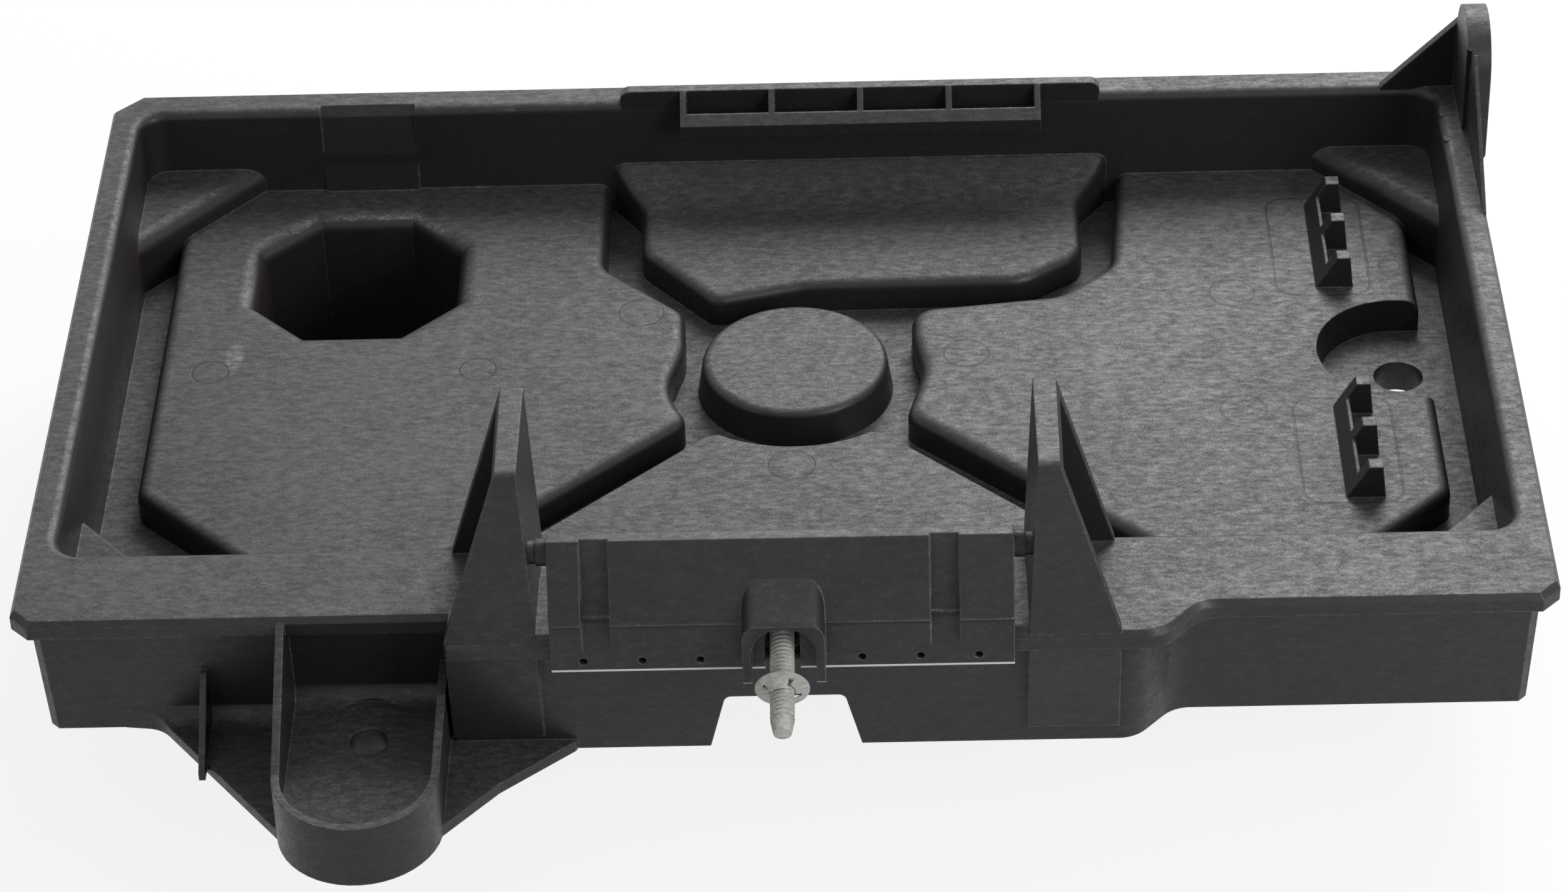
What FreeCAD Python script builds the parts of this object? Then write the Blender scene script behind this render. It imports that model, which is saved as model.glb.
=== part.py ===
import FreeCAD
import Part
import math
import os

# Battery tray for a car: one glass-filled polypropylene moulding with raised hollow pads,
# a deep octagonal leg, a cast-on mounting ear, two clamp towers and a back retaining comb,
# plus a pivoting hold-down clamp, its stud and the push-on retainer. Millimetres, Z up.
# Working origin: middle of the tray in X, rim datum in Y, underside of the floor at Z 0.
# At the end everything is moved so that the floor bolt hole is the origin.

V = FreeCAD.Vector
os.makedirs("parts", exist_ok=True)

# Overall form: half length, front and back of the rim, height of the rim
wall = 3.0
height = 38.0
rim_half = 186.0
rim_front = -115.5
rim_back = 116.0
lip = 5.0
flange = 3.5
lip_run = 1.0
lip_fall = 1.5
overhang = 4.5
side_over = 4.0
side_draft = math.tan(math.radians(2.3))
front_cut = 4.5
back_cut = 7.0

# Well that takes the battery, inside the land of the rim
rim_land = 8.0
well_half = rim_half - rim_land
well_front = rim_front + 27.0
well_back = rim_back - 9.5
well_corner = 7.0
well_edge = 2.6

# Middle of the front wall stands forward under the clamp
step_out = 11.0
step_left = -80.0
s_start = 90.5
s_end = 100.5
s_bend = 9.0

# Floor levels
floor_top = wall
pad_top = 12.3
disc_top = 13.2
plateau_top = 19.5
pad_round = 3.4

# Row of the disc and the floor bolt
row_y = 20.4
disc_x = 2.1
disc_base = 26.3
disc_flat = 23.4
bolt_x = well_half - 16.2
bolt_hole = 13.0
bolt_clear = 20.5
bolt_sleeve = 6.0

# Raised pads: gap to the well's end walls, and where their noses come nearest the front
pad_gap_left = 11.0
pad_gap_right = 9.0
nose_left = -0.629 * well_half
nose_right = 0.674 * well_half

# Island at the back wall
isle_left = -40.0
isle_right = 80.3
isle_front = row_y + 35.0

# Octagonal leg
leg_x = -0.655 * well_half
leg_y = 64.2
leg_wide = 54.0
leg_deep = 54.0
leg_cut = 14.5
leg_floor = -30.0
leg_draft = math.tan(math.radians(1.5))
leg_round = 5.0

# Towers
tower_in = 58.5
tower_base = 80.5
tower_top_in = 60.5
tower_top_out = 65.5
tower_front = rim_front - 10.5
tower_rear = well_front
tower_height = 49.0
tower_wall = 2.8
pin_y = tower_front + 8.0
pin_z = height + 21.0
pin_radius = 2.8
pin_clear = 0.05


def rounded(points):
    """Closed wire through corners given as (x, y, radius)."""
    edges = []
    count = len(points)
    starts = []
    ends = []
    mids = []
    for i in range(count):
        px, py, pr = points[i - 1]
        cx, cy, cr = points[i]
        nx, ny, nr = points[(i + 1) % count]
        a = V(px - cx, py - cy, 0)
        b = V(nx - cx, ny - cy, 0)
        a.normalize()
        b.normalize()
        if cr <= 0:
            starts.append(V(cx, cy, 0))
            ends.append(V(cx, cy, 0))
            mids.append(None)
            continue
        half = a.getAngle(b) / 2.0
        reach = cr / math.tan(half)
        bis = a + b
        bis.normalize()
        centre = V(cx, cy, 0) + bis * (cr / math.sin(half))
        starts.append(V(cx, cy, 0) + a * reach)
        ends.append(V(cx, cy, 0) + b * reach)
        mids.append(centre - bis * cr)
    for i in range(count):
        if mids[i] is not None:
            edges.append(Part.Arc(starts[i], mids[i], ends[i]).toShape())
        nxt = starts[(i + 1) % count]
        if (nxt - ends[i]).Length > 1e-6:
            edges.append(Part.makeLine(ends[i], nxt))
    return Part.Wire(edges)


def lifted(wire, z):
    copy = wire.copy()
    copy.translate(V(0, 0, z))
    return copy


def prism(wire, z0, z1):
    return Part.Face(lifted(wire, z0)).extrude(V(0, 0, z1 - z0))


def tapered(low, high, z0, z1):
    return Part.makeLoft([lifted(low, z0), lifted(high, z1)], True, True)


def box(x0, x1, y0, y1, z0, z1):
    return Part.makeBox(x1 - x0, y1 - y0, z1 - z0, V(x0, y0, z0))


def side_plate(points, x0, x1):
    """Plate from a profile in the YZ plane, between two X planes."""
    pts = [V(x0, y, z) for y, z in points]
    pts.append(pts[0])
    return Part.Face(Part.makePolygon(pts)).extrude(V(x1 - x0, 0, 0))


def front_plate(points, y0, y1):
    """Plate from a profile in the XZ plane, between two Y planes."""
    pts = [V(x, y0, z) for x, z in points]
    pts.append(pts[0])
    return Part.Face(Part.makePolygon(pts)).extrude(V(0, y1 - y0, 0))


def top_edges(solid, z):
    found = []
    for e in solid.Edges:
        b = e.BoundBox
        if abs(b.ZMin - z) < 1e-4 and abs(b.ZMax - z) < 1e-4:
            found.append(e)
    return found


def raised(wire, top, radius):
    """Pad with rounded upper edge, standing on the underside plane."""
    solid = prism(wire, 0.0, top)
    limit_y = solid.BoundBox.YMax - 0.01
    return solid.makeFillet(radius, [e for e in top_edges(solid, top) if e.BoundBox.YMin < limit_y])


def mirrored(shape):
    return shape.mirror(V(0, 0, 0), V(1, 0, 0))


def spread(start, end, count):
    """Evenly spaced places between two ends."""
    return [start + (end - start) * (i + 1) / (count + 1) for i in range(count)]


def outline(grow):
    """Tray outline grown outwards by grow, with the forward step and its S curve."""
    left = -rim_half - grow
    right = rim_half + grow
    front = rim_front - grow
    back = rim_back + grow
    fore = front - step_out
    return rounded([
        (left, front + front_cut, 0.0),
        (left + front_cut, front, 0.0),
        (step_left, front, 0.0),
        (step_left, fore, 0.0),
        (s_start + grow, fore, s_bend),
        (s_end + grow, front, s_bend),
        (right - front_cut, front, 0.0),
        (right, front + front_cut, 0.0),
        (right, back - back_cut, 0.0),
        (right - back_cut, back, 0.0),
        (left + back_cut, back, 0.0),
        (left, back - back_cut, 0.0)])


def well(grow, corner):
    return rounded([
        (-well_half - grow, well_front - grow, corner),
        (well_half + grow, well_front - grow, corner),
        (well_half + grow, well_back + grow, corner),
        (-well_half - grow, well_back + grow, corner)])


def front_box(shrink):
    """Hollow front wall, wider than the side walls behind it, with small corner cuts."""
    half = rim_half - side_over - shrink
    face = rim_front + overhang + shrink
    cut = front_cut * 0.45
    return rounded([
        (-half, well_front, 0.0),
        (-half, face + cut, 0.0),
        (cut - half, face, 0.0),
        (half - cut, face, 0.0),
        (half, face + cut, 0.0),
        (half, well_front, 0.0)])


# Outer walls with draft, the rim with its softened upper edge, and the well
drop = height * side_draft
body = tapered(outline(-overhang - drop), outline(-overhang), 0.0, height - 1.0)
body = body.fuse(tapered(front_box(drop), front_box(0.0), 0.0, height - 1.0))
rim = prism(outline(0.0), height - lip, height - lip_fall)
rim = rim.fuse(tapered(outline(0.0), outline(-lip_run), height - lip_fall, height))
body = body.fuse(rim)
well_low = well(-(height - floor_top) * side_draft, well_corner - 1.0)
body = body.cut(tapered(well_low, well(0.0, well_corner), floor_top, height))
soft = [e for e in top_edges(body, height) if e.BoundBox.YMax < well_back + 0.1 and e.BoundBox.YMin > well_front - 0.1]
soft = [e for e in soft if e.BoundBox.XMax < well_half + 0.1 and e.BoundBox.XMin > -well_half - 0.1]
body = body.makeFillet(well_edge, soft)

# Cells under the front flange, between the well wall and the front wall
rib_half = 1.1
notch_top = 16.0
notch_half = 18.6
notch_slant = 4.2
side_reach = rim_half - side_over - drop - wall
cell_back = well_front - wall + 0.4
cell_front = rim_front + overhang + drop + wall
fore_left = step_left + 1.5
fore_right = s_start - 8.5
notch_rib = notch_half + 1.4
front_ribs = spread(-side_reach, fore_left, 2) + [fore_left] + spread(fore_left, -notch_rib, 1)
front_ribs = front_ribs + [-notch_rib, notch_rib] + spread(notch_rib, fore_right, 1)
front_ribs = front_ribs + [fore_right] + spread(fore_right, side_reach, 2)
stops = [-side_reach] + front_ribs + [side_reach]
for i in range(len(stops) - 1):
    x0 = stops[i] + (rib_half if i > 0 else 0.0)
    x1 = stops[i + 1] - (rib_half if i < len(stops) - 2 else 0.0)
    forward = step_left < (x0 + x1) / 2.0 < fore_right
    ahead = cell_front - (step_out if forward else 0.0)
    body = body.cut(box(x0, x1, ahead, cell_back, -1.0, height - flange))


# Raised pads, drawn g larger all round; a negative g gives the hollow underneath
def left_pad(g):
    edge = pad_gap_left - well_half
    return rounded([
        (edge - g, well_front + 56.5 - 0.4 * g, 7.0),
        (nose_left, well_front + 4.5 - 1.3 * g, 7.0),
        (disc_x - 27.6 + g, row_y - 24.4 - 0.4 * g, 5.0),
        (disc_x - 33.9 + g, row_y - 11.4, 22.0),
        (disc_x - 29.1 + g, row_y + 7.6, 22.0),
        (disc_x - 29.6 + g, row_y + 24.1 + 0.4 * g, 7.0),
        (isle_left - 9.5 + g, row_y + 45.6 + 0.4 * g, 7.0),
        (isle_left - 9.5 + g, well_back + wall, 0.0),
        (edge - g, well_back + wall, 0.0)])


def right_pad(g):
    edge = well_half - pad_gap_right
    return rounded([
        (edge + g, well_front + 47.5 - 0.4 * g, 7.0),
        (nose_right, well_front + 2.5 - 1.3 * g, 7.0),
        (disc_x + 28.9 - g, row_y - 23.9 - 0.4 * g, 6.0),
        (disc_x + 33.7 - g, row_y - 4.4, 24.0),
        (disc_x + 31.1 - g, row_y + 10.6, 20.0),
        (disc_x + 31.3 - g, row_y + 23.6 + g, 7.0),
        (isle_right - 7.3 - 0.5 * g, row_y + 28.6 + g, 9.0),
        (isle_right + 7.2 - g, row_y + 41.6 + 0.5 * g, 9.0),
        (isle_right + 11.5 - g, well_back + wall, 0.0),
        (edge + g, well_back + wall, 0.0)])


pad_left = raised(left_pad(0.0), pad_top, pad_round)
pad_right = raised(right_pad(0.0), pad_top, pad_round)
clear = Part.makeCone(bolt_clear, bolt_clear + 1.6, pad_top + 1.0 - floor_top, V(bolt_x, row_y, floor_top))
clear = clear.fuse(box(bolt_x, well_half, row_y - bolt_clear, row_y + bolt_clear, floor_top, pad_top + 1.0))
pad_right = pad_right.cut(clear)

# Front pad reaches the front wall and ends in a hollow round the disc
ring_r = 36.7
mid_half = 108.0
nose_half = 22.5
pad_nose_y = row_y - 31.0
front_pad = prism(rounded([
    (disc_x - mid_half, well_front - wall, 0.0),
    (disc_x + mid_half, well_front - wall, 0.0),
    (disc_x + nose_half, pad_nose_y, 9.0),
    (disc_x - nose_half, pad_nose_y, 9.0)]), 0.0, pad_top)
front_pad = front_pad.cut(Part.makeCylinder(ring_r, pad_top + 2.0, V(disc_x, row_y, -1.0)))
front_pad = front_pad.makeChamfer(0.9, top_edges(front_pad, pad_top))

# Disc
disc = Part.makeCone(disc_base, disc_flat + 0.9, disc_top, V(disc_x, row_y, 0.0))
disc = disc.makeFillet(2.4, top_edges(disc, disc_top))

# Corner plateaus
corner_x = 36.0
corner_y = 41.0
back_corners = [(-1, well_back + wall, 1), (1, well_back + wall, 1)]
front_corners = [(-1, well_front - wall, -1), (1, well_front - wall, -1)]


def plateau(sx, yc, sy, grow):
    x = sx * (well_half + wall)
    reach_x = corner_x + wall + grow
    reach_y = corner_y + wall + grow
    return rounded([
        (x, yc, 0.0),
        (x - sx * reach_x, yc, 0.0),
        (x, yc - sy * reach_y, 0.0)])


plateaus = []
for sx, yc, sy in back_corners + front_corners:
    block = prism(plateau(sx, yc, sy, 0.0), 0.0, plateau_top)
    slant = []
    for e in top_edges(block, plateau_top):
        b = e.BoundBox
        if b.XLength > 5.0 and b.YLength > 5.0:
            slant.append(e)
    plateaus.append(block.makeFillet(4.5 if sy > 0 else 1.0, slant))

# Island with a hollow ramp up to the back wall
ramp_foot = well_back - 19.1
ramp_top = 19.0
ramp_run = well_back - 1.5 - ramp_foot
ramp_rise = ramp_top - pad_top
ramp_r = (ramp_run * ramp_run + ramp_rise * ramp_rise) / (2.0 * ramp_rise)
ramp_end = well_back + wall + 1.0


def island(g):
    return rounded([
        (isle_left - g, isle_front + 17.6, 8.0),
        (disc_x - 22.0, isle_front - 6.4 - g, 5.0),
        (disc_x + 2.0, isle_front - g, 16.0),
        (isle_right - 16.3, isle_front + 0.8 - g, 14.0),
        (isle_right + g, isle_front + 12.6, 10.0),
        (isle_right + g, well_back - 13.0, 12.0),
        (isle_right + 11.0 + g, well_back + wall, 0.0),
        (isle_left - 11.0 - g, well_back + wall, 0.0),
        (isle_left - g, well_back - 13.0, 12.0)])


# The air above the island: flat in front, then a hollow curve up to the ramp's top
isle = prism(island(0.0), 0.0, ramp_top + 5.0)
mid_run = ramp_run * 0.55
ramp_mid = V(0, ramp_foot + mid_run, pad_top + ramp_r - math.sqrt(ramp_r ** 2 - mid_run ** 2))
ramp_crest = V(0, ramp_foot + ramp_run, ramp_top)
foot = V(0, ramp_foot, pad_top)
corners = [ramp_crest, V(0, ramp_end, ramp_top), V(0, ramp_end, 2.0 * height), V(0, row_y, 2.0 * height),
           V(0, row_y, pad_top), foot]
above = Part.Wire([Part.Arc(foot, ramp_mid, ramp_crest).toShape()] + Part.makePolygon(corners).Edges)
above.translate(V(-rim_half, 0, 0))
isle = isle.cut(Part.Face(above).extrude(V(2.0 * rim_half, 0, 0)))
lip_edges = []
for e in isle.Edges:
    b = e.BoundBox
    on_flat = abs(b.ZMin - pad_top) < 1e-4 and abs(b.ZMax - pad_top) < 1e-4 and b.YMax < ramp_foot + 0.1
    across = b.XLength > 100.0 and b.YLength < 0.1
    climbs = b.ZMin > pad_top - 1e-4 and b.ZMax > pad_top + 0.3 and b.XLength < 20.0 and b.YMin < well_back
    if (on_flat and not across) or climbs:
        lip_edges.append(e)
isle = isle.makeFillet(3.0, lip_edges)

inside = prism(well(0.8, well_corner), -1.0, height - well_edge - 1.0)
for piece in [pad_left, pad_right, front_pad, disc, isle] + plateaus:
    body = body.fuse(piece.common(inside))

# Hollows on the underside, one wall thickness inside every raised form
hollow_top = pad_top - wall
limit = prism(well(-wall, 4.0), -2.0, height)


def hollow(wire, top, cutters):
    shape = prism(wire, -1.0, top)
    for c in cutters:
        shape = shape.cut(c)
    return shape.common(limit)


def octagon(grow):
    a = leg_wide / 2.0 + grow
    b = leg_deep / 2.0 + grow
    c = leg_cut + 0.586 * grow
    return rounded([
        (leg_x - a, leg_y - b + c, 0.0), (leg_x - a + c, leg_y - b, 0.0),
        (leg_x + a - c, leg_y - b, 0.0), (leg_x + a, leg_y - b + c, 0.0),
        (leg_x + a, leg_y + b - c, 0.0), (leg_x + a - c, leg_y + b, 0.0),
        (leg_x - a + c, leg_y + b, 0.0), (leg_x - a, leg_y + b - c, 0.0)])


leg_keep = prism(octagon(wall + 0.3), -5.0, height)
keep_r = bolt_clear + 2.6
bolt_keep = Part.makeCylinder(keep_r, 2.0 * height, V(bolt_x, row_y, -5.0))
bolt_keep = bolt_keep.fuse(box(bolt_x, rim_half, row_y - keep_r, row_y + keep_r, -5.0, height))
corner_keep = [prism(plateau(sx, yc, sy, -wall), -5.0, height) for sx, yc, sy in back_corners]
ring_keep = Part.makeCylinder(ring_r + wall, 2.0 * height, V(disc_x, row_y, -5.0))


def rib_along(x0, x1, y):
    return box(x0, x1, y - rib_half, y + rib_half, -5.0, height)


def rib_across(x):
    return box(x - rib_half, x + rib_half, well_front - 5.0, rim_back, -5.0, height)


rib_left = rib_along(-rim_half, 0.0, row_y - 10.4).fuse(rib_across(-0.42 * well_half))
rib_left = rib_left.fuse(rib_across(nose_left - 6.0))
rib_right = rib_along(0.0, rim_half, row_y - 6.4).fuse(rib_across(0.46 * well_half))
rib_right = rib_right.fuse(rib_across(nose_right + 6.0))
under_left = hollow(left_pad(-wall), hollow_top, [leg_keep, rib_left] + corner_keep)
under_right = hollow(right_pad(-wall), hollow_top, [bolt_keep, rib_right] + corner_keep)
under_isle = hollow(island(-wall), hollow_top, [rib_across(0.0), rib_across(isle_right / 2.0)])

# The hollow of the front pad keeps one wall thickness from the slanting sides
side_run = (mid_half - nose_half) / (pad_nose_y - well_front + wall)
side_gap = wall * math.sqrt(1.0 + side_run * side_run)
hollow_y0 = well_front + wall + 1.6
hollow_y1 = pad_nose_y - wall
half_0 = mid_half - (hollow_y0 - well_front + wall) * side_run - side_gap
half_1 = mid_half - (hollow_y1 - well_front + wall) * side_run - side_gap
under_front = prism(rounded([
    (disc_x - half_0, hollow_y0, 0.0),
    (disc_x + half_0, hollow_y0, 0.0),
    (disc_x + half_1, hollow_y1, 0.0),
    (disc_x - half_1, hollow_y1, 0.0)]), -1.0, hollow_top)
under_front = under_front.cut(ring_keep)
for x in spread(disc_x - mid_half, disc_x + mid_half, 3):
    under_front = under_front.cut(rib_across(x))
under_disc = Part.makeCone(disc_base - wall, disc_flat - wall, disc_top - wall + 1.0, V(disc_x, row_y, -1.0))
body = body.cut(under_left).cut(under_right).cut(under_front).cut(under_disc).cut(under_isle)
for sx, yc, sy in back_corners + front_corners:
    core = prism(plateau(sx, yc, sy, -wall * 1.45), -1.0, plateau_top - wall)
    body = body.cut(core.common(prism(well(-1.5 * wall, 3.0), -2.0, height)))

# Octagonal leg with a soft mouth
fall = pad_top - leg_floor
leg_in = tapered(octagon(-fall * leg_draft), octagon(0.0), leg_floor, pad_top)
leg_out = tapered(octagon(wall - (fall + wall) * leg_draft), octagon(wall), leg_floor - wall, pad_top - 2.0)
body = body.fuse(leg_out).cut(leg_in)
near_x = leg_wide / 2.0 + 0.5
near_y = leg_deep / 2.0 + 0.5
mouth = []
for e in top_edges(body, pad_top):
    b = e.BoundBox
    if b.XMin > leg_x - near_x and b.XMax < leg_x + near_x and b.YMin > leg_y - near_y and b.YMax < leg_y + near_y:
        mouth.append(e)
body = body.makeFillet(leg_round, mouth)

# Bolt hole with its sleeve below the floor, and the notch under the stud
body = body.fuse(Part.makeCylinder(bolt_hole / 2.0 + wall, bolt_sleeve + 1.0, V(bolt_x, row_y, -bolt_sleeve)))
body = body.cut(Part.makeCylinder(bolt_hole / 2.0, bolt_sleeve + height, V(bolt_x, row_y, -bolt_sleeve - 1.0)))
notch = front_plate([
    (-notch_half, -1.0), (notch_half, -1.0), (notch_half - notch_slant, notch_top),
    (notch_slant - notch_half, notch_top)], rim_front - step_out - 5.0, rim_front + 1.5)
notch = notch.makeFillet(2.0, [e for e in notch.Edges if e.BoundBox.YLength > 5.0 and e.BoundBox.ZMin > notch_top - 0.1])
body = body.cut(notch)


# Clamp towers: channels open to the outside, with a round bearing for the clamp
top_z = height + tower_height
lean = 1.2
tower_foot = tower_front + 4.4
span0 = tower_in - 8.0
span1 = tower_base + 10.0
cap_fall = 1.5


def tower():
    edge = front_plate([
        (tower_in, 0.0), (tower_in, height), (tower_top_in, top_z), (tower_top_out, top_z),
        (tower_base, height), (tower_base, 0.0)], tower_front - 1.0, tower_rear)
    face = side_plate([
        (tower_front + lean, top_z), (tower_front, height), (tower_foot, 5.0), (tower_foot + wall, 5.0),
        (tower_front + wall, height), (tower_front + lean + wall, top_z)], span0, span1).common(edge)
    back = box(span0, span1, tower_rear - wall, tower_rear, height - 2.0, top_z - cap_fall).common(edge)
    web = front_plate([
        (tower_in, height - 2.0), (tower_in, height), (tower_top_in, top_z), (tower_top_in + tower_wall, top_z),
        (tower_in + tower_wall, height), (tower_in + tower_wall, height - 2.0)], tower_front + lean, tower_rear)
    cap = side_plate([
        (tower_front + lean, top_z), (tower_rear, top_z - cap_fall), (tower_rear, top_z - cap_fall - tower_wall),
        (tower_front + lean, top_z - wall)], span0, span1).common(edge)
    made = face.fuse(web).fuse(back).fuse(cap).cut(side_plate([
        (tower_front - 1.0, top_z + 1.0), (tower_rear + 1.0, top_z + 1.0), (tower_rear + 1.0, top_z - cap_fall - 0.05),
        (tower_front + lean, top_z - 0.01), (tower_front - 1.0, top_z - 0.01)], span0, span1))
    shoulder = Part.makeCylinder(pin_radius + 1.8, 0.9, V(tower_in + tower_wall + 0.6, pin_y, pin_z), V(1, 0, 0))
    made = made.fuse(shoulder).removeSplitter()
    nose = []
    for e in made.Edges:
        b = e.BoundBox
        if b.ZMin > top_z - 0.3 and b.XLength > 3.0 and b.YLength < 0.1 and b.YMax < tower_front + 4.0:
            nose.append(e)
    made = made.makeFillet(2.6, nose)
    bearing = Part.makeCylinder(pin_radius + pin_clear, 12.0, V(tower_in - 2.0, pin_y, pin_z), V(1, 0, 0))
    return made.cut(bearing)


tower_right = tower()
body = body.fuse(tower_right).fuse(mirrored(tower_right))

# Stop blocks on the flange beside the towers
stop_block = box(tower_in - 8.5, tower_in + 1.0, tower_front + 0.4, tower_front + 22.0, height - 1.0, height + 2.0)
body = body.fuse(stop_block).fuse(mirrored(stop_block))

# Pocket on the flange that holds the head of the stud
stud_x = 0.0
stud_tilt = 13.0
stud_radius = 2.95
head_y = pin_y + 6.0
head_z = height + 5.7
head_across = 10.0
head_thick = 4.0
head_seat = 0.6
pocket_wall = 3.0
pocket_half = head_across / 2.0 + 0.4
pocket_top = height + 12.0


def along(shape):
    """Turn a piece standing on the origin on to the tilted axis of the stud."""
    shape.rotate(V(0, 0, 0), V(1, 0, 0), 90.0 + stud_tilt)
    shape.translate(V(stud_x, head_y, head_z))
    return shape


saddle_w = pocket_half + pocket_wall
saddle = box(-saddle_w, saddle_w, head_y - 8.0, head_y + 8.0, height - 1.0, pocket_top)
saddle = saddle.makeFillet(1.5, [e for e in saddle.Edges if e.BoundBox.ZLength > 5.0])
saddle = saddle.cut(along(box(
    -pocket_half, pocket_half, -head_across * 0.6, 30.0, head_seat - head_thick - 0.4, head_seat)))
stud_gap = stud_radius + 0.35
saddle = saddle.cut(box(-stud_gap, stud_gap, head_y - 12.0, head_y, head_z - 4.3, pocket_top + 1.0))
for xr in (-30.0, 30.0):
    saddle = saddle.fuse(box(
        xr - 1.2, xr + 1.2, rim_front - step_out + wall, well_front - 3.0, height - 1.0, height + 1.2))
body = body.fuse(saddle)
body = body.cut(box(
    -stud_gap - 0.45, stud_gap + 0.45, rim_front - step_out - 2.0, head_y - 7.0, height - 1.9, height + 3.0))

# Mounting ear at the front left
ear_x = -101.5
ear_y = rim_front - 33.0
ear_r = 20.0
ear_floor = 9.0
ear_plate = 3.0
ear_hole_x = ear_x + 1.0
ear_hole_y = ear_y + 21.5
ear_hole = 9.4
ear_spot = 15.0
ear_rib = 17.5
ear_left_top = height - 1.0
ear_right_top = 20.0
ear_lip = 2.0
ear_soft = 5.0
wall_y = rim_front + overhang
wall_foot = wall_y + drop


def loop(r):
    return Part.Wire([
        Part.Arc(V(ear_x - r, ear_y, 0), V(ear_x, ear_y - r, 0), V(ear_x + r, ear_y, 0)).toShape(),
        Part.makeLine(V(ear_x + r, ear_y, 0), V(ear_x + r, wall_y + 3.0, 0)),
        Part.makeLine(V(ear_x + r, wall_y + 3.0, 0), V(ear_x - r, wall_y + 3.0, 0)),
        Part.makeLine(V(ear_x - r, wall_y + 3.0, 0), V(ear_x - r, ear_y, 0))])


def corner_fill(z, x0, x1):
    """Hollow curve between a level plate and the drafted front wall."""
    y = wall_y + side_draft * (height - z)
    rise = V(0, y - ear_soft * 0.293, z + ear_soft * 0.293)
    curve = Part.Arc(V(0, y - ear_soft, z), rise, V(0, y, z + ear_soft)).toShape()
    back = Part.makePolygon([V(0, y, z + ear_soft), V(0, y + 2.0, z + ear_soft), V(0, y + 2.0, z - 1.0),
                             V(0, y - ear_soft, z - 1.0), V(0, y - ear_soft, z)])
    face = Part.Face(Part.Wire([curve] + back.Edges))
    face.translate(V(x0, 0, 0))
    return face.extrude(V(x1 - x0, 0, 0))


ear = prism(loop(ear_r), 0.0, height)
ear = ear.cut(prism(loop(ear_r - ear_lip), ear_floor, height + 1.0))
ear = ear.fuse(corner_fill(ear_floor, ear_x - ear_r + 1.0, ear_x + ear_r - 1.0))
slope_end = ear_y - ear_r - 2.0
lip_start = [(wall_y + 15.0, height + 2.0)]
lip_finish = [(ear_y, ear_rib), (slope_end, ear_rib), (slope_end, height + 2.0)]
left_slope = lip_start + [(wall_y + 15.0, ear_left_top), (rim_front + 0.5, ear_left_top)] + lip_finish
right_slope = lip_start + [(wall_y + 15.0, ear_right_top), (rim_front - 2.5, ear_right_top)] + lip_finish
ear = ear.cut(side_plate(left_slope, ear_x - ear_r - 1.0, ear_x))
ear = ear.cut(side_plate(right_slope, ear_x, ear_x + ear_r + 1.0))
spot = Part.makeCylinder(ear_spot, 6.0, V(ear_hole_x, ear_hole_y, ear_floor))
ear = ear.cut(spot.common(prism(loop(ear_r - ear_lip), -1.0, height)))
below = prism(loop(ear_r - ear_lip - 0.5), -1.0, ear_floor - ear_plate)
below = below.common(box(ear_x - ear_r, ear_x + ear_r, ear_y - ear_r, wall_y - 0.5, -2.0, height))
boss = Part.makeCylinder(ear_hole / 2.0 + 4.0, ear_floor, V(ear_hole_x, ear_hole_y, 0.0))
ear = ear.cut(below.cut(boss))

# Gusset plates either side of the ear, and the small upright rib
gusset_left = ear_x - 60.5
gusset_right = ear_x + 50.8
fore_y = wall_y - step_out
root_y = wall_foot + 1.5
left_edge = rounded([
    (gusset_left, root_y, 0.0), (gusset_left, wall_foot - 0.1, 0.0), (gusset_left + 9.0, wall_foot - 1.2, 8.0),
    (ear_x - 19.8, ear_y - 3.1, 0.0), (ear_x - 12.0, ear_y, 0.0), (ear_x - ear_r + 1.0, root_y, 0.0)])
gusset_l = prism(left_edge, 0.0, wall)
gusset_r = prism(rounded([
    (gusset_right, fore_y + 3.0, 0.0), (gusset_right, fore_y + 0.8, 2.0), (gusset_right - 18.2, ear_y + 11.9, 8.0),
    (ear_x + 19.6, ear_y - 3.3, 0.0), (ear_x + 12.0, ear_y, 0.0), (ear_x + ear_r - 1.0, root_y, 0.0),
    (step_left + 10.0, root_y, 0.0), (step_left + 10.0, fore_y + 3.0, 0.0)]), 0.0, wall)
bowl_clear = prism(loop(ear_r - ear_lip / 2.0), -1.0, height)
rib_mid = (gusset_left + ear_x - ear_r) / 2.0 + 0.7
small_rib = side_plate([
    (wall_y + 2.5, 18.6), (wall_y - 0.5, 18.6), (wall_y - 20.0, wall), (wall_y - 20.0, 1.0), (wall_y + 2.5, 1.0)],
    rib_mid - 0.8, rib_mid + 0.8)
soft_left = corner_fill(wall, gusset_left + 1.0, ear_x - ear_r + 1.0).common(prism(left_edge, 0.0, height))
ear = ear.fuse(gusset_l.fuse(soft_left).cut(bowl_clear)).fuse(gusset_r.cut(bowl_clear)).fuse(small_rib)
ear = ear.cut(box(-rim_half, rim_half, wall_foot + 2.0, rim_back, -2.0, height + 1.0))
body = body.fuse(ear)
body = body.cut(Part.makeCylinder(ear_hole / 2.0, 2.0 * height, V(ear_hole_x, ear_hole_y, -5.0)))

# Bracket at the back right corner: round-topped plate, cross gusset and long tapering rib
arm_x = rim_half - 2.4
arm_wide = 6.2
arm_front = rim_back - 36.0
arm_back = rim_back - 9.0
arm_top = height + 32.5
arm_radius = 13.4
arm_nose = arm_top - 5.5
rib_left_x = rim_half - 1.2
rib_start = arm_front - 35.0


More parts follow.
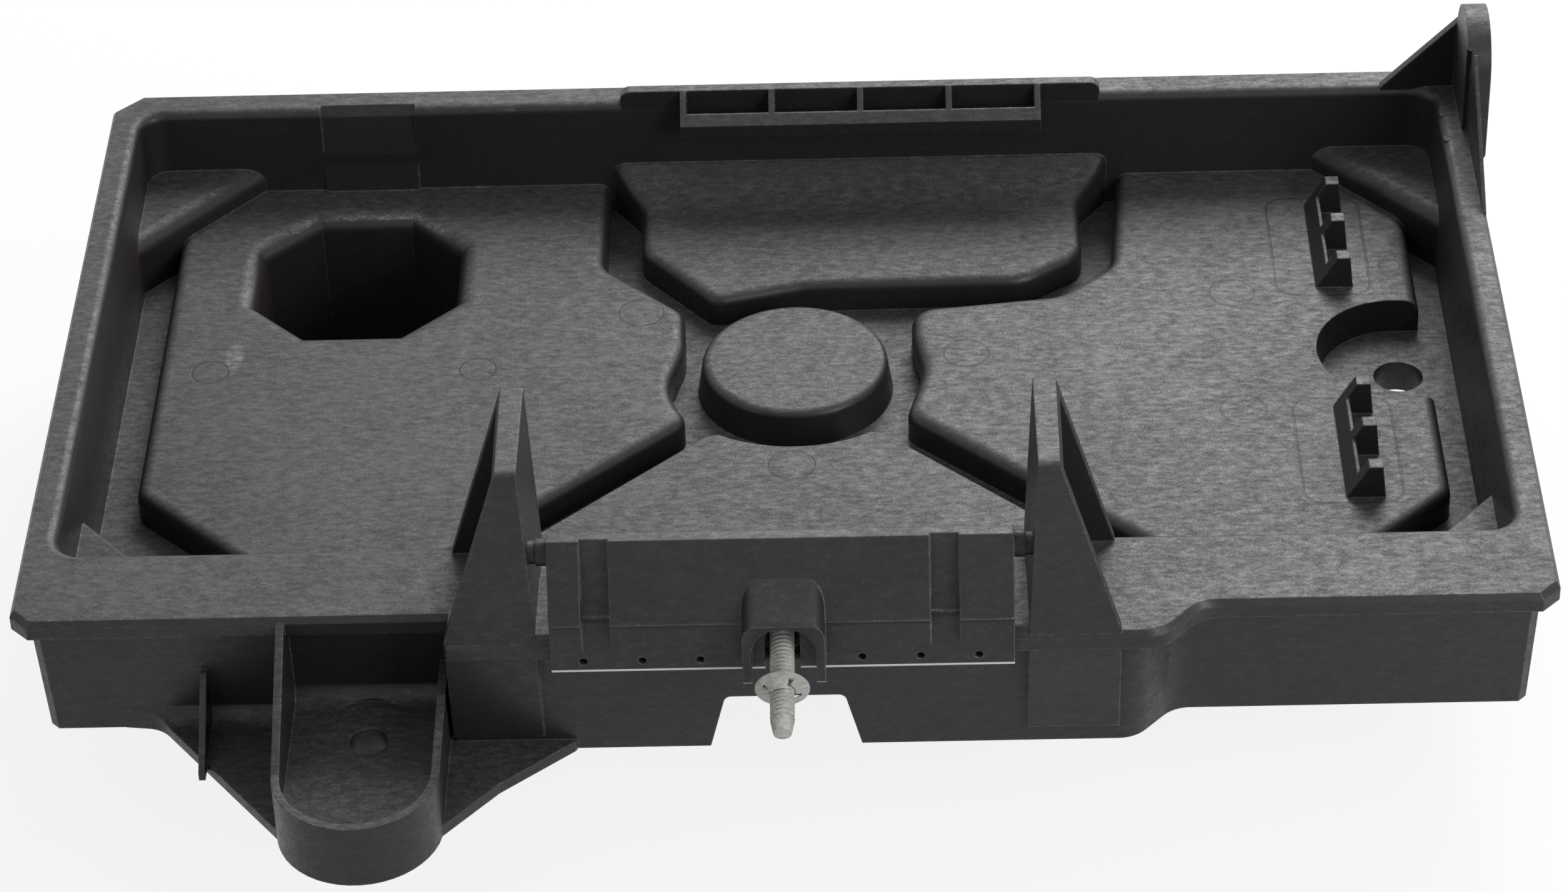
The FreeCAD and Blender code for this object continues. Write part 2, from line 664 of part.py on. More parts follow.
def upright(y0, y1, top, r, x0, x1):
    """Round-topped plate in the YZ plane."""
    wire = rounded([(y0, height - 3.0, 0.0), (y1, height - 3.0, 0.0), (y1, top, r), (y0, top, r)])
    face = Part.Face(wire)
    face.rotate(V(0, 0, 0), V(1, 0, 0), 90)
    face.rotate(V(0, 0, 0), V(0, 0, 1), 90)
    solid = face.extrude(V(x1 - x0, 0, 0))
    solid.translate(V(x0, 0, 0))
    return solid


arm = upright(arm_front, arm_back, arm_top, arm_radius, arm_x, arm_x + arm_wide)
arm = arm.cut(box(arm_x - 1.0, rib_left_x, arm_front - 1.0, arm_front + 5.0, height, arm_nose))
cross = front_plate([
    (arm_x + 1.0, height - 2.0), (arm_x - 20.0, height - 2.0), (arm_x - 20.0, height), (arm_x + 0.5, height + 21.0),
    (arm_x + 1.0, height + 21.0)], arm_back, arm_back + 2.5)
cross = cross.fuse(box(arm_x, arm_x + 3.0, arm_back - 3.0, arm_back + 2.5, height - 2.0, height + 19.0))
long_rib = side_plate([
    (rib_start, height - 1.0), (rib_start, height + 0.3), (arm_front + 0.5, arm_nose), (arm_front + 0.5, height - 1.0)],
    rib_left_x, rim_half - 0.2)
body = body.fuse(arm).fuse(cross).fuse(long_rib)
foot_x = rim_half - overhang - 3.0
for yb in (arm_front + 1.3, (arm_front + arm_back) / 2.0, arm_back - 1.3):
    body = body.fuse(front_plate([
        (arm_x + arm_wide, height), (arm_x + arm_wide, height - lip), (foot_x + 1.8, 12.0),
        (foot_x, 12.0), (foot_x, height)], yb - 1.3, yb + 1.3))

# Retaining comb on the back wall: raised plate, wedge with four open bays
plate_left = isle_left - 5.5
plate_right = isle_right + 6.2
plate_top = height + 4.0
plate_t = 3.0
comb_left = plate_left + 16.6
comb_right = plate_right - 16.4
comb_front = well_back - 8.5
comb_high = plate_top - 6.2
comb_low = comb_high - 3.6
comb_bar = 3.0
comb_rib = 1.6
comb_bays = 4
plate_low = height - 14.0
back_plate = front_plate([
    (plate_left + 2.5, plate_low), (plate_right - 2.5, plate_low), (plate_right, height), (plate_right, plate_top),
    (plate_left, plate_top), (plate_left, height)], well_back, well_back + plate_t)
ends = []
for e in back_plate.Edges:
    b = e.BoundBox
    if b.YLength > 2.0 and b.ZMin > plate_top - 0.1:
        ends.append(e)
back_plate = back_plate.makeFillet(2.8, ends)
wedge = side_plate([
    (well_back + 1.0, plate_top), (well_back, plate_top), (comb_front, comb_high), (comb_front, comb_low),
    (well_back + 1.0, comb_low)], comb_left, comb_right)
bay = (comb_right - comb_left - comb_rib) / comb_bays
for i in range(comb_bays):
    x0 = comb_left + comb_rib + i * bay
    wedge = wedge.cut(box(x0, x0 + bay - comb_rib, comb_front + comb_bar, well_back, comb_low - 5.0, plate_top + 2.0))
body = body.fuse(back_plate).fuse(wedge)
rear_y = well_back + plate_t - 0.5
for i in range(comb_bays + 1):
    xm = comb_left + comb_rib / 2.0 + i * bay
    body = body.fuse(side_plate([
        (rear_y, height - 1.0), (rear_y, plate_top - 0.3), (rim_back - 1.5, height), (rim_back - 1.5, height - 1.0)],
        xm - 0.8, xm + 0.8))

# Leaning panel in the back wall behind the leg
panel_l = leg_x - 11.9
panel_r = leg_x + 14.1
panel_mid = height * 0.6
panel = side_plate([
    (well_back + 1.0, floor_top), (well_back - 3.2, floor_top), (well_back - 0.4, panel_mid),
    (well_back + 1.0, panel_mid)], panel_l, panel_r)
relief = side_plate([
    (well_back - 1.0, height + 1.0), (well_back + 3.0, height + 1.0), (well_back + 1.2, height - 3.0),
    (well_back - 0.7, panel_mid), (well_back - 1.0, panel_mid)], panel_l, panel_r)
body = body.fuse(panel).cut(relief)

# Battery stops: three sloping fingers on a low web, two sets, set back from the pad's right edge
finger_end = well_half - pad_gap_right - 18.0
finger_flat = finger_end - 3.5
finger_x = finger_flat - 5.5
finger_t = 3.7
finger_up = 9.5
finger_pitch = 17.7
web_up = 5.0
web_t = 2.2
web_x = finger_x + (finger_flat - finger_x) / finger_up * web_up
stop_top = pad_top + finger_up
for first in (row_y + 28.4, row_y - 63.7):
    for i in range(3):
        ya = first + i * finger_pitch
        body = body.fuse(front_plate([
            (finger_x, pad_top - 1.0), (finger_x, pad_top), (finger_flat, stop_top), (finger_end, stop_top),
            (finger_end + 1.0, pad_top), (finger_end + 1.0, pad_top - 1.0)], ya, ya + finger_t))
    body = body.fuse(front_plate([
        (finger_x, pad_top - 1.0), (finger_x, pad_top), (web_x, pad_top + web_up), (web_x + 0.8, pad_top + web_up),
        (finger_x + web_t + 1.5, pad_top), (finger_x + web_t + 1.5, pad_top - 1.0)],
        first + 1.0, first + 2.0 * finger_pitch + finger_t - 1.0))

body = body.removeSplitter()

# Hold-down clamp: sloping leaf that stands a little proud of the apron below it
skin = 2.4
clamp_half = tower_in - 3.5
clamp_top_y = pin_y - 3.0
clamp_top_z = pin_z + 5.2
shelf_z = height + 8.6
shelf_y = clamp_top_y - 9.2
apron_y = shelf_y + 0.9
apron_low = height - 6.6
leaf = 3.0
end_t = 2.2
ledge = shelf_z - 1.2
clamp = side_plate([
    (clamp_top_y, clamp_top_z), (shelf_y, shelf_z), (shelf_y, ledge + 0.5), (apron_y, ledge - 0.3), (apron_y, apron_low),
    (apron_y + skin, apron_low), (apron_y + skin, shelf_z - 1.8), (shelf_y + leaf + 0.3, shelf_z - 0.6),
    (clamp_top_y + leaf, clamp_top_z)], -clamp_half, clamp_half)
cheek = [
    (clamp_top_y + 0.5, clamp_top_z - 0.01), (pin_y + 0.4, clamp_top_z - 0.01), (pin_y + 3.6, pin_z + 2.6),
    (pin_y + 4.0, pin_z - 1.5), (pin_y + 1.0, pin_z - 4.6), (pin_y - 5.5, pin_z - 13.0),
    (apron_y + skin - 0.1, height + 3.2), (apron_y + 0.5, height + 2.6), (apron_y + 0.5, ledge), (shelf_y + 0.5, shelf_z)]
clamp = clamp.fuse(side_plate(cheek, -clamp_half, -clamp_half + end_t))
clamp = clamp.fuse(side_plate(cheek, clamp_half - end_t, clamp_half))
inner_rib = [
    (clamp_top_y + 1.0, clamp_top_z - 1.5), (clamp_top_y + leaf + 1.0, clamp_top_z - 1.5),
    (shelf_y + leaf + 4.5, shelf_z + 2.0), (apron_y + skin - 0.1, height + 4.0), (apron_y + 1.0, height + 4.0),
    (apron_y + 1.0, ledge), (shelf_y + 1.0, shelf_z)]
for xm in (-32.0, -15.0, 15.0, 32.0):
    clamp = clamp.fuse(side_plate(inner_rib, xm - 0.9, xm + 0.9))

# Two grooves down the face: each floor runs straight from the top edge to the apron
groove_deep = 1.2
groove_z = height - 0.3
groove_back = 2.0
for x0, x1 in ((-47.3, -40.5), (35.2, 42.0)):
    backing = side_plate([
        (clamp_top_y + groove_deep, clamp_top_z), (clamp_top_y + groove_deep + groove_back, clamp_top_z),
        (apron_y + groove_back, groove_z), (apron_y, groove_z)], x0 - 1.5, x1 + 1.5)
    clamp = clamp.fuse(backing)
    clamp = clamp.cut(side_plate([
        (clamp_top_y + groove_deep, clamp_top_z + 1.0), (apron_y, groove_z), (shelf_y - 3.0, groove_z),
        (shelf_y - 3.0, clamp_top_z + 1.0)], x0, x1))

# Hood over the stud: soft shoulders above, an arched mouth in front
arch_x = 0.4
arch_r = 7.7
arch_z = height + 2.8
hood_t = 2.1
hood_front = apron_y - 6.4
hood_half = arch_r + hood_t
hood_top = arch_z + arch_r + 1.6
hood_crest = clamp_top_z - 8.0
hood_back_y = clamp_top_y - 3.4
hood = side_plate([
    (hood_back_y, hood_crest), (hood_front + 1.0, hood_top), (hood_front, hood_top - 1.0), (hood_front, apron_low + 1.0),
    (hood_front + 1.0, apron_low), (apron_y + 1.0, apron_low), (apron_y + 1.0, ledge), (shelf_y + 1.0, shelf_z),
    (hood_back_y + 1.5, hood_crest)], arch_x - hood_half, arch_x + hood_half)
brow = []
for e in hood.Edges:
    b = e.BoundBox
    if b.XLength < 0.01 and b.ZMin > hood_top - 1.1 and b.YLength > 3.0:
        brow.append(e)
hood = hood.makeFillet(4.0, brow)
clamp = clamp.fuse(hood)
tunnel = Part.makeCylinder(arch_r, apron_y - hood_front + 1.0, V(arch_x, hood_front - 1.0, arch_z), V(0, 1, 0))
tunnel = tunnel.fuse(box(arch_x - arch_r, arch_x + arch_r, hood_front - 1.0, apron_y, apron_low - 1.0, arch_z))
clamp = clamp.cut(tunnel)
slot_half = stud_radius + 1.25
slot_low = apron_low + 3.1
slot_high = arch_z + 3.4
bridge = 1.3
clamp = clamp.cut(box(-slot_half, slot_half, apron_y - 1.0, apron_y + skin + 1.0, slot_low, slot_high))
clamp = clamp.cut(box(-slot_half, slot_half, apron_y - 1.0, apron_y + skin + 1.0, apron_low - 1.0, slot_low - bridge))

# Row of small holes along the lower edge
hole_r = 1.0
for xh in (-47.3, -33.3, -19.5, 18.8, 32.7, 46.5):
    clamp = clamp.cut(Part.makeCylinder(hole_r, skin + 4.0, V(xh, apron_y - 2.0, slot_low), V(0, 1, 0)))

# Trunnions
collar_r = pin_radius + 0.5
collar_end = clamp_half + 2.7
pin_end = tower_in + 4.1
for s in (-1, 1):
    start = V(s * (clamp_half - 0.5), pin_y, pin_z)
    clamp = clamp.fuse(Part.makeCylinder(collar_r, collar_end - clamp_half + 0.5, start, V(s, 0, 0)))
    clamp = clamp.fuse(Part.makeCylinder(pin_radius, pin_end - clamp_half + 0.5, start, V(s, 0, 0)))
clamp = clamp.removeSplitter()

# Stud with hexagonal head and plain point, and the push-on retainer
stud_long = 45.2
point_r = stud_radius - 0.55
point_long = 9.0


def hexagon(across):
    r = across / math.sqrt(3.0)
    corners = []
    for k in range(7):
        turn = math.radians(60 * k + 30)
        corners.append(V(r * math.cos(turn), r * math.sin(turn), 0))
    return Part.makePolygon(corners)


head = Part.Face(hexagon(head_across)).extrude(V(0, 0, head_thick))
head.translate(V(0, 0, head_seat - head_thick))
shank = Part.makeCylinder(stud_radius, stud_long - point_long, V(0, 0, 0))
point = Part.makeCylinder(point_r, point_long - 1.0, V(0, 0, stud_long - point_long))
tip = Part.makeCone(point_r, point_r - 0.8, 1.0, V(0, 0, stud_long - 1.0))
stud = along(head.fuse(shank).fuse(point).fuse(tip).removeSplitter())

nut_at = 31.6
nut_r = stud_radius + 3.5
nut_t = 0.8
nut_up = 2.0
nut = Part.makeCylinder(nut_r, nut_t, V(0, 0, 0))
nut = nut.fuse(Part.makeCone(stud_radius + 2.05, stud_radius + 1.05, nut_up - nut_t, V(0, 0, nut_t)))
nut = nut.cut(Part.makeCylinder(stud_radius - 0.02, nut_up + 2.0, V(0, 0, -1.0)))
nut.translate(V(0, 0, nut_at))
nut = along(nut)

shift = V(-bolt_x, -row_y, 0.0)
nodes = {"tray": body, "hold_down_clamp": clamp, "clamp_stud": stud, "push_on_retainer": nut}
for name, shape in nodes.items():
    shape.translate(shift)
    shape.exportStep("parts/" + name + ".step")
    b = shape.BoundBox
    print(name, shape.isValid(), len(shape.Solids), "volume cm3 %.2f" % (shape.Volume / 1000.0))
    print("  x %.1f..%.1f y %.1f..%.1f z %.1f..%.1f" % (b.XMin, b.XMax, b.YMin, b.YMax, b.ZMin, b.ZMax))
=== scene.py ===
"""Looks of the car battery tray: mottled moulding, threaded stud, push-on retainer and a studio."""

import math

import bpy
from mathutils import Matrix, Vector


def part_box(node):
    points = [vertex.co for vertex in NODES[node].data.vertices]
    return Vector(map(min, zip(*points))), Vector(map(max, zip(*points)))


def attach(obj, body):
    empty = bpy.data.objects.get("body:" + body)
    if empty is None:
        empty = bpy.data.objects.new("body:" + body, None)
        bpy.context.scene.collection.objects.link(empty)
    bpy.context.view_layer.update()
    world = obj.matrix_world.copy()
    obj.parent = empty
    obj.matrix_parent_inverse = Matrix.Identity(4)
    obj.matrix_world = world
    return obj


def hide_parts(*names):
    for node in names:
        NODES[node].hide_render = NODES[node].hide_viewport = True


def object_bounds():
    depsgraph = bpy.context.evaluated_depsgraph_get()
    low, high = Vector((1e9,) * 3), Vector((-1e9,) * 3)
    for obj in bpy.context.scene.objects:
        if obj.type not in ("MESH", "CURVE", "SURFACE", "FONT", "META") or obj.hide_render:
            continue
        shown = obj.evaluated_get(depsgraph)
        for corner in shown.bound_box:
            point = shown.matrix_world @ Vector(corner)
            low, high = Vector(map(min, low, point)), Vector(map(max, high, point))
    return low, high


bl_info = {
    "name": "Battery Tray Looks",
    "version": (1, 0, 0),
    "blender": (4, 5, 0),
    "location": "3D View > Sidebar > Battery Tray",
    "description": "Finishes, stud, retainer and studio for the moulded battery tray",
    "category": "Object",
}

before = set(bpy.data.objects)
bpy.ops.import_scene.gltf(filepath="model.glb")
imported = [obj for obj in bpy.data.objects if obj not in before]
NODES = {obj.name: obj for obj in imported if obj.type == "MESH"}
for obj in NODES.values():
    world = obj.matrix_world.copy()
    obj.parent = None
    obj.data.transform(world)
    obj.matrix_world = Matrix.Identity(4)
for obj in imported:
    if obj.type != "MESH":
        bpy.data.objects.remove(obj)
CAD_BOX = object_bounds()
CLAMP_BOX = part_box("hold_down_clamp")

# The stud in the row frame: it leaves its head's seat and points forward, tilted down
STUD_TILT = math.radians(13.0)
STUD_START = Vector((-0.1618, -0.1324, 0.0437))
# The level of the pads' tops in the row frame
PAD_LEVEL = 0.0123
# The lower edge of the clamp's leaf, and the middle of its hood
LEAF_EDGE = CLAMP_BOX[0][2] + 0.0140
HOOD_MIDDLE = (CLAMP_BOX[0][0] + CLAMP_BOX[1][0]) / 2.0
# The photo's width and height and the place of the lens's axis on it, in pixels
IMAGE_WIDE = 2509
IMAGE_HIGH = 1428
LENS_MIDDLE = (1261.23, 713.82)
SENSOR_WIDE = 36.0


def deselect():
    if bpy.context.object and bpy.context.object.mode != "OBJECT":
        bpy.ops.object.mode_set(mode="OBJECT")
    bpy.ops.object.select_all(action="DESELECT")


def make_active(obj):
    deselect()
    obj.select_set(True)
    bpy.context.view_layer.objects.active = obj


def named(name):
    obj = bpy.context.object
    obj.name = name
    obj.data.name = name
    return obj


def apply_modifiers(obj):
    make_active(obj)
    for modifier in list(obj.modifiers):
        bpy.ops.object.modifier_apply(modifier=modifier.name)


def recalculate(obj):
    make_active(obj)
    bpy.ops.object.mode_set(mode="EDIT")
    bpy.ops.mesh.select_all(action="SELECT")
    bpy.ops.mesh.remove_doubles(threshold=1e-6)
    bpy.ops.mesh.normals_make_consistent(inside=False)
    bpy.ops.object.mode_set(mode="OBJECT")


def smooth(obj, degrees):
    make_active(obj)
    bpy.ops.object.shade_smooth_by_angle(angle=math.radians(degrees))


def lift_mesh(obj, height):
    """Moves a whole mesh up its own Z."""
    make_active(obj)
    bpy.ops.object.mode_set(mode="EDIT")
    bpy.ops.mesh.select_all(action="SELECT")
    bpy.ops.transform.translate(value=(0.0, 0.0, height))
    bpy.ops.object.mode_set(mode="OBJECT")


def join(objs, name):
    deselect()
    for obj in objs:
        obj.select_set(True)
    bpy.context.view_layer.objects.active = objs[0]
    bpy.ops.object.join()
    return named(name)


def on_stud_axis(obj):
    """Turns a piece built along +Z on to the stud's axis and settles its place in its mesh."""
    make_active(obj)
    obj.rotation_euler = (math.radians(90.0) + STUD_TILT, 0.0, 0.0)
    obj.location = STUD_START
    bpy.ops.object.transform_apply(location=True, rotation=True, scale=True)


def profile(points, name):
    """A chain of edges through (radius, height) points, drawn by extruding one corner."""
    deselect()
    bpy.ops.mesh.primitive_plane_add(size=0.001, location=(0, 0, 0))
    obj = named(name)
    bpy.ops.object.mode_set(mode="EDIT")
    bpy.ops.mesh.select_all(action="SELECT")
    bpy.ops.mesh.merge(type="CENTER")
    r, z = points[0]
    bpy.ops.transform.translate(value=(r, 0.0, z))
    for radius, height in points[1:]:
        bpy.ops.mesh.extrude_region_move(TRANSFORM_OT_translate={"value": (radius - r, 0.0, height - z)})
        r, z = radius, height
    bpy.ops.mesh.select_all(action="SELECT")
    return obj


def turned(points, name, steps=48):
    """A solid of revolution round Z, spun from a closed or axis-to-axis profile."""
    obj = profile(points, name)
    bpy.ops.mesh.spin(steps=steps, angle=math.radians(360.0), center=(0, 0, 0), axis=(0, 0, 1))
    bpy.ops.mesh.select_all(action="SELECT")
    bpy.ops.mesh.remove_doubles(threshold=1e-6)
    bpy.ops.mesh.normals_make_consistent(inside=False)
    bpy.ops.object.mode_set(mode="OBJECT")
    return obj


# Shader helpers


def put(tree, kind, place=(0, 0), **values):
    node = tree.nodes.new(kind)
    node.location = place
    for key, value in values.items():
        setattr(node, key, value)
    return node


def link(tree, a, b):
    tree.links.new(a, b)


def sum_of(tree, a, b, operation="ADD", clamp=False):
    node = put(tree, "ShaderNodeMath", operation=operation, use_clamp=clamp)
    for i, value in enumerate((a, b)):
        if isinstance(value, (int, float)):
            node.inputs[i].default_value = value
        else:
            link(tree, value, node.inputs[i])
    return node.outputs[0]


def blend_of(tree, a, b, share):
    """Two values mixed, with the share that the second one has."""
    return sum_of(tree, sum_of(tree, a, 1.0 - share, "MULTIPLY"), sum_of(tree, b, share, "MULTIPLY"))


def ramp(tree, value, low, high, to_low=0.0, to_high=1.0):
    """A soft change from one value to another between two levels of an input."""
    node = put(tree, "ShaderNodeMapRange", interpolation_type="SMOOTHSTEP")
    link(tree, value, node.inputs["Value"])
    node.inputs["From Min"].default_value = low
    node.inputs["From Max"].default_value = high
    node.inputs["To Min"].default_value = to_low
    node.inputs["To Max"].default_value = to_high
    return node.outputs["Result"]


def noise(tree, vector, scale, detail, rough):
    node = put(tree, "ShaderNodeTexNoise")
    node.inputs["Scale"].default_value = scale
    node.inputs["Detail"].default_value = detail
    node.inputs["Roughness"].default_value = rough
    link(tree, vector, node.inputs["Vector"])
    return node.outputs["Fac"]


def new_group(name, takes, gives):
    tree = bpy.data.node_groups.new(name, "ShaderNodeTree")
    for label, kind, value in takes:
        socket = tree.interface.new_socket(name=label, in_out="INPUT", socket_type=kind)
        if value is not None:
            socket.default_value = value
    for label, kind in gives:
        tree.interface.new_socket(name=label, in_out="OUTPUT", socket_type=kind)
    return tree, put(tree, "NodeGroupInput", (-1200, 0)), put(tree, "NodeGroupOutput", (900, 0))


def seam_line_group():
    """A thin line round a rounded rectangle or circle, seen from above, on one level."""
    tree, take, give = new_group(
        "Seam Line",
        [("Centre", "NodeSocketVector", (0, 0, 0)), ("Half Size", "NodeSocketVector", (0.01, 0.01, 0)),
         ("Corner", "NodeSocketFloat", 0.005), ("Width", "NodeSocketFloat", 0.0004),
         ("Strength", "NodeSocketFloat", 1.0)],
        [("Mask", "NodeSocketFloat")])
    coords = put(tree, "ShaderNodeTexCoord", (-1200, -200)).outputs["Object"]

    def vector(operation, a, b):
        node = put(tree, "ShaderNodeVectorMath", operation=operation)
        link(tree, a, node.inputs[0])
        if isinstance(b, tuple):
            node.inputs[1].default_value = b
        elif b is not None:
            link(tree, b, node.inputs[1])
        return node.outputs["Value" if operation == "LENGTH" else "Vector"]

    offset = vector("SUBTRACT", coords, take.outputs["Centre"])
    flat = vector("MULTIPLY", offset, (1.0, 1.0, 0.0))
    past = vector("SUBTRACT", vector("ABSOLUTE", flat, None), take.outputs["Half Size"])
    corner = put(tree, "ShaderNodeCombineXYZ")
    link(tree, take.outputs["Corner"], corner.inputs["X"])
    link(tree, take.outputs["Corner"], corner.inputs["Y"])
    grown = vector("ADD", past, corner.outputs[0])
    outside = vector("MAXIMUM", grown, (0.0, 0.0, 0.0))
    gap = sum_of(tree, vector("LENGTH", outside, None), take.outputs["Corner"], "SUBTRACT")
    gap = sum_of(tree, gap, 0.0, "ABSOLUTE")
    share = sum_of(tree, gap, take.outputs["Width"], "DIVIDE")
    mask = ramp(tree, share, 0.45, 1.0, 1.0, 0.0)
    link(tree, sum_of(tree, mask, take.outputs["Strength"], "MULTIPLY"), give.inputs["Mask"])
    return tree


def fibre_mottle_group():
    """Cloudy, short-fibred mottle of a glass-filled moulding."""
    tree, take, give = new_group(
        "Fibre Mottle",
        [("Coarseness", "NodeSocketFloat", 1.0)],
        [("Cloud", "NodeSocketFloat"), ("Fleck", "NodeSocketFloat"),
         ("Pit", "NodeSocketFloat"), ("Height", "NodeSocketFloat")])
    coords = put(tree, "ShaderNodeTexCoord", (-1400, 0)).outputs["Object"]
    scaled = put(tree, "ShaderNodeVectorMath", operation="SCALE")
    link(tree, coords, scaled.inputs[0])
    link(tree, take.outputs["Coarseness"], scaled.inputs["Scale"])
    space = scaled.outputs[0]
    stretch = put(tree, "ShaderNodeMapping")
    stretch.inputs["Scale"].default_value = (0.42, 1.0, 1.0)
    stretch.inputs["Rotation"].default_value = (0.0, 0.0, math.radians(7.0))
    link(tree, space, stretch.inputs["Vector"])
    broad = noise(tree, space, 24.0, 3.0, 0.6)
    blot = noise(tree, space, 190.0, 4.0, 0.65)
    streak = noise(tree, stretch.outputs[0], 520.0, 3.0, 0.65)
    fine = noise(tree, space, 1500.0, 1.0, 0.5)
    cloud = blend_of(tree, broad, blot, 0.55)
    link(tree, ramp(tree, cloud, 0.36, 0.64), give.inputs["Cloud"])
    grain = blend_of(tree, streak, fine, 0.4)
    link(tree, ramp(tree, grain, 0.48, 0.66), give.inputs["Fleck"])
    link(tree, ramp(tree, grain, 0.50, 0.36), give.inputs["Pit"])
    link(tree, blend_of(tree, blot, grain, 0.6), give.inputs["Height"])
    return tree


def faces_up_group():
    """How far a surface looks up, from 0 on a wall to 1 on a floor."""
    tree, _, give = new_group("Faces Up", [], [("Up", "NodeSocketFloat")])
    normal = put(tree, "ShaderNodeNewGeometry").outputs["Normal"]
    split = put(tree, "ShaderNodeSeparateXYZ")
    link(tree, normal, split.inputs[0])
    link(tree, ramp(tree, split.outputs["Z"], 0.62, 0.985), give.inputs["Up"])
    return tree


def edge_wear_and_highlight_group():
    """Where a surface turns sharply: a mask of rubbed wear and painted highlight, and the rounded normal.
    """
    tree, take, give = new_group(
        "Edge Wear and Highlight",
        [("Reach", "NodeSocketFloat", 0.0006)],
        [("Edge", "NodeSocketFloat"), ("Normal", "NodeSocketVector")])
    geometry = put(tree, "ShaderNodeNewGeometry")
    bevel = put(tree, "ShaderNodeBevel", samples=4)
    link(tree, take.outputs["Reach"], bevel.inputs["Radius"])
    dot = put(tree, "ShaderNodeVectorMath", operation="DOT_PRODUCT")
    link(tree, bevel.outputs[0], dot.inputs[0])
    link(tree, geometry.outputs["Normal"], dot.inputs[1])
    link(tree, ramp(tree, dot.outputs["Value"], 0.985, 0.80, 0.0, 1.0), give.inputs["Edge"])
    link(tree, bevel.outputs[0], give.inputs["Normal"])
    return tree


GROUPS = {}
MAKERS = {
    "Seam Line": seam_line_group,
    "Fibre Mottle": fibre_mottle_group,
    "Faces Up": faces_up_group,
    "Edge Wear and Highlight": edge_wear_and_highlight_group,
}


def group(tree, name, **values):
    """Places one of the shared groups, which is built when it is first asked for."""
    if name not in GROUPS:
        GROUPS[name] = MAKERS[name]()
    node = put(tree, "ShaderNodeGroup")
    node.node_tree = GROUPS[name]
    for key, value in values.items():
        node.inputs[key.replace("_", " ")].default_value = value
    return node


def mix_colour(tree, factor, a, b):
    node = put(tree, "ShaderNodeMix", data_type="RGBA")
    if isinstance(factor, float):
        node.inputs[0].default_value = factor
    else:
        link(tree, factor, node.inputs[0])
    for socket, value in ((node.inputs[6], a), (node.inputs[7], b)):
        if isinstance(value, tuple):
            socket.default_value = value
        else:
            link(tree, value, socket)
    return node.outputs[2]


def seen_directly(tree):
    """1 for rays that leave the camera or a shiny surface, and 0 for light that bounces."""
    path = put(tree, "ShaderNodeLightPath")
    return sum_of(tree, path.outputs["Is Camera Ray"], path.outputs["Is Glossy Ray"], "MAXIMUM")


def material(name):
    mat = bpy.data.materials.new(name)
    mat.use_nodes = True
    tree = mat.node_tree
    tree.nodes.clear()
    out = put(tree, "ShaderNodeOutputMaterial", (900, 0))
    shader = put(tree, "ShaderNodeBsdfPrincipled", (500, 0))
    link(tree, shader.outputs[0], out.inputs["Surface"])
    return mat, tree, shader


def row(x, y, z=0.0):
    """A place given in millimetres from the tray's middle, in the row frame's metres."""
    return ((x - 161.8) / 1000.0, (y - 20.4) / 1000.0, z / 1000.0)


# Ejector marks on the pads: middle x, middle y, radius, in millimetres
MARKS = [(-153.0, 20.3, 4.8), (-82.0, 19.3, 4.8), (-39.3, 43.6, 6.0), (119.3, 47.2, 6.0),
         (118.7, -5.0, 6.0), (162.8, 58.5, 2.9), (1.2, -25.0, 6.0), (47.3, 22.2, 6.0)]
# Insert outlines round the two combs of fingers: left, right, front and back, in millimetres
INSERTS = [(131.5, 156.8, 45.5, 91.5), (131.5, 156.8, -45.3, -0.9)]
# Pale rubbed places: back and left of the pocket's mouth, and a smear beside an ejector mark
MOUTH_BACK = (-112.0, 88.0)
MOUTH_LEFT = (-141.0, 62.0)
SMEAR = (-147.0, 27.0)


def tone(colour, factor=1.0):
    return tuple(factor * c for c in colour) + (1.0,)


def tint(tree, colour, mask, share, target):
    """A colour drawn towards a target where a mask says so."""
    return mix_colour(tree, sum_of(tree, mask, share, "MULTIPLY"), colour, target)


def band(tree, value, low, high, soft):
    """1 between two levels of a value, falling off softly on either side."""
    rise = ramp(tree, value, low - soft, low + soft)
    fall = ramp(tree, value, high - soft, high + soft, 1.0, 0.0)
    return sum_of(tree, rise, fall, "MULTIPLY")


def place_of(tree):
    split = put(tree, "ShaderNodeSeparateXYZ")
    link(tree, put(tree, "ShaderNodeTexCoord").outputs["Object"], split.inputs[0])
    return split.outputs["X"], split.outputs["Y"], split.outputs["Z"]


def pad_seams(tree):
    """Ejector circles and insert outlines, on the level of the pads alone."""
    lines = None
    for x, y, r in MARKS:
        size = r / 1000.0
        node = group(tree, "Seam Line", Centre=row(x, y), Half_Size=(size, size, 0.0),
                     Corner=size, Width=0.00042, Strength=0.85)
        lines = node.outputs[0] if lines is None else sum_of(tree, lines, node.outputs[0], "MAXIMUM")
    for x0, x1, y0, y1 in INSERTS:
        size = ((x1 - x0) / 2000.0, (y1 - y0) / 2000.0, 0.0)
        node = group(tree, "Seam Line", Centre=row((x0 + x1) / 2, (y0 + y1) / 2), Half_Size=size,
                     Corner=0.005, Width=0.00042, Strength=1.0)
        lines = sum_of(tree, lines, node.outputs[0], "MAXIMUM")
    level = sum_of(tree, sum_of(tree, place_of(tree)[2], PAD_LEVEL, "SUBTRACT"), 0.0, "ABSOLUTE")
    return sum_of(tree, lines, sum_of(tree, level, 0.0003, "LESS_THAN"), "MULTIPLY")


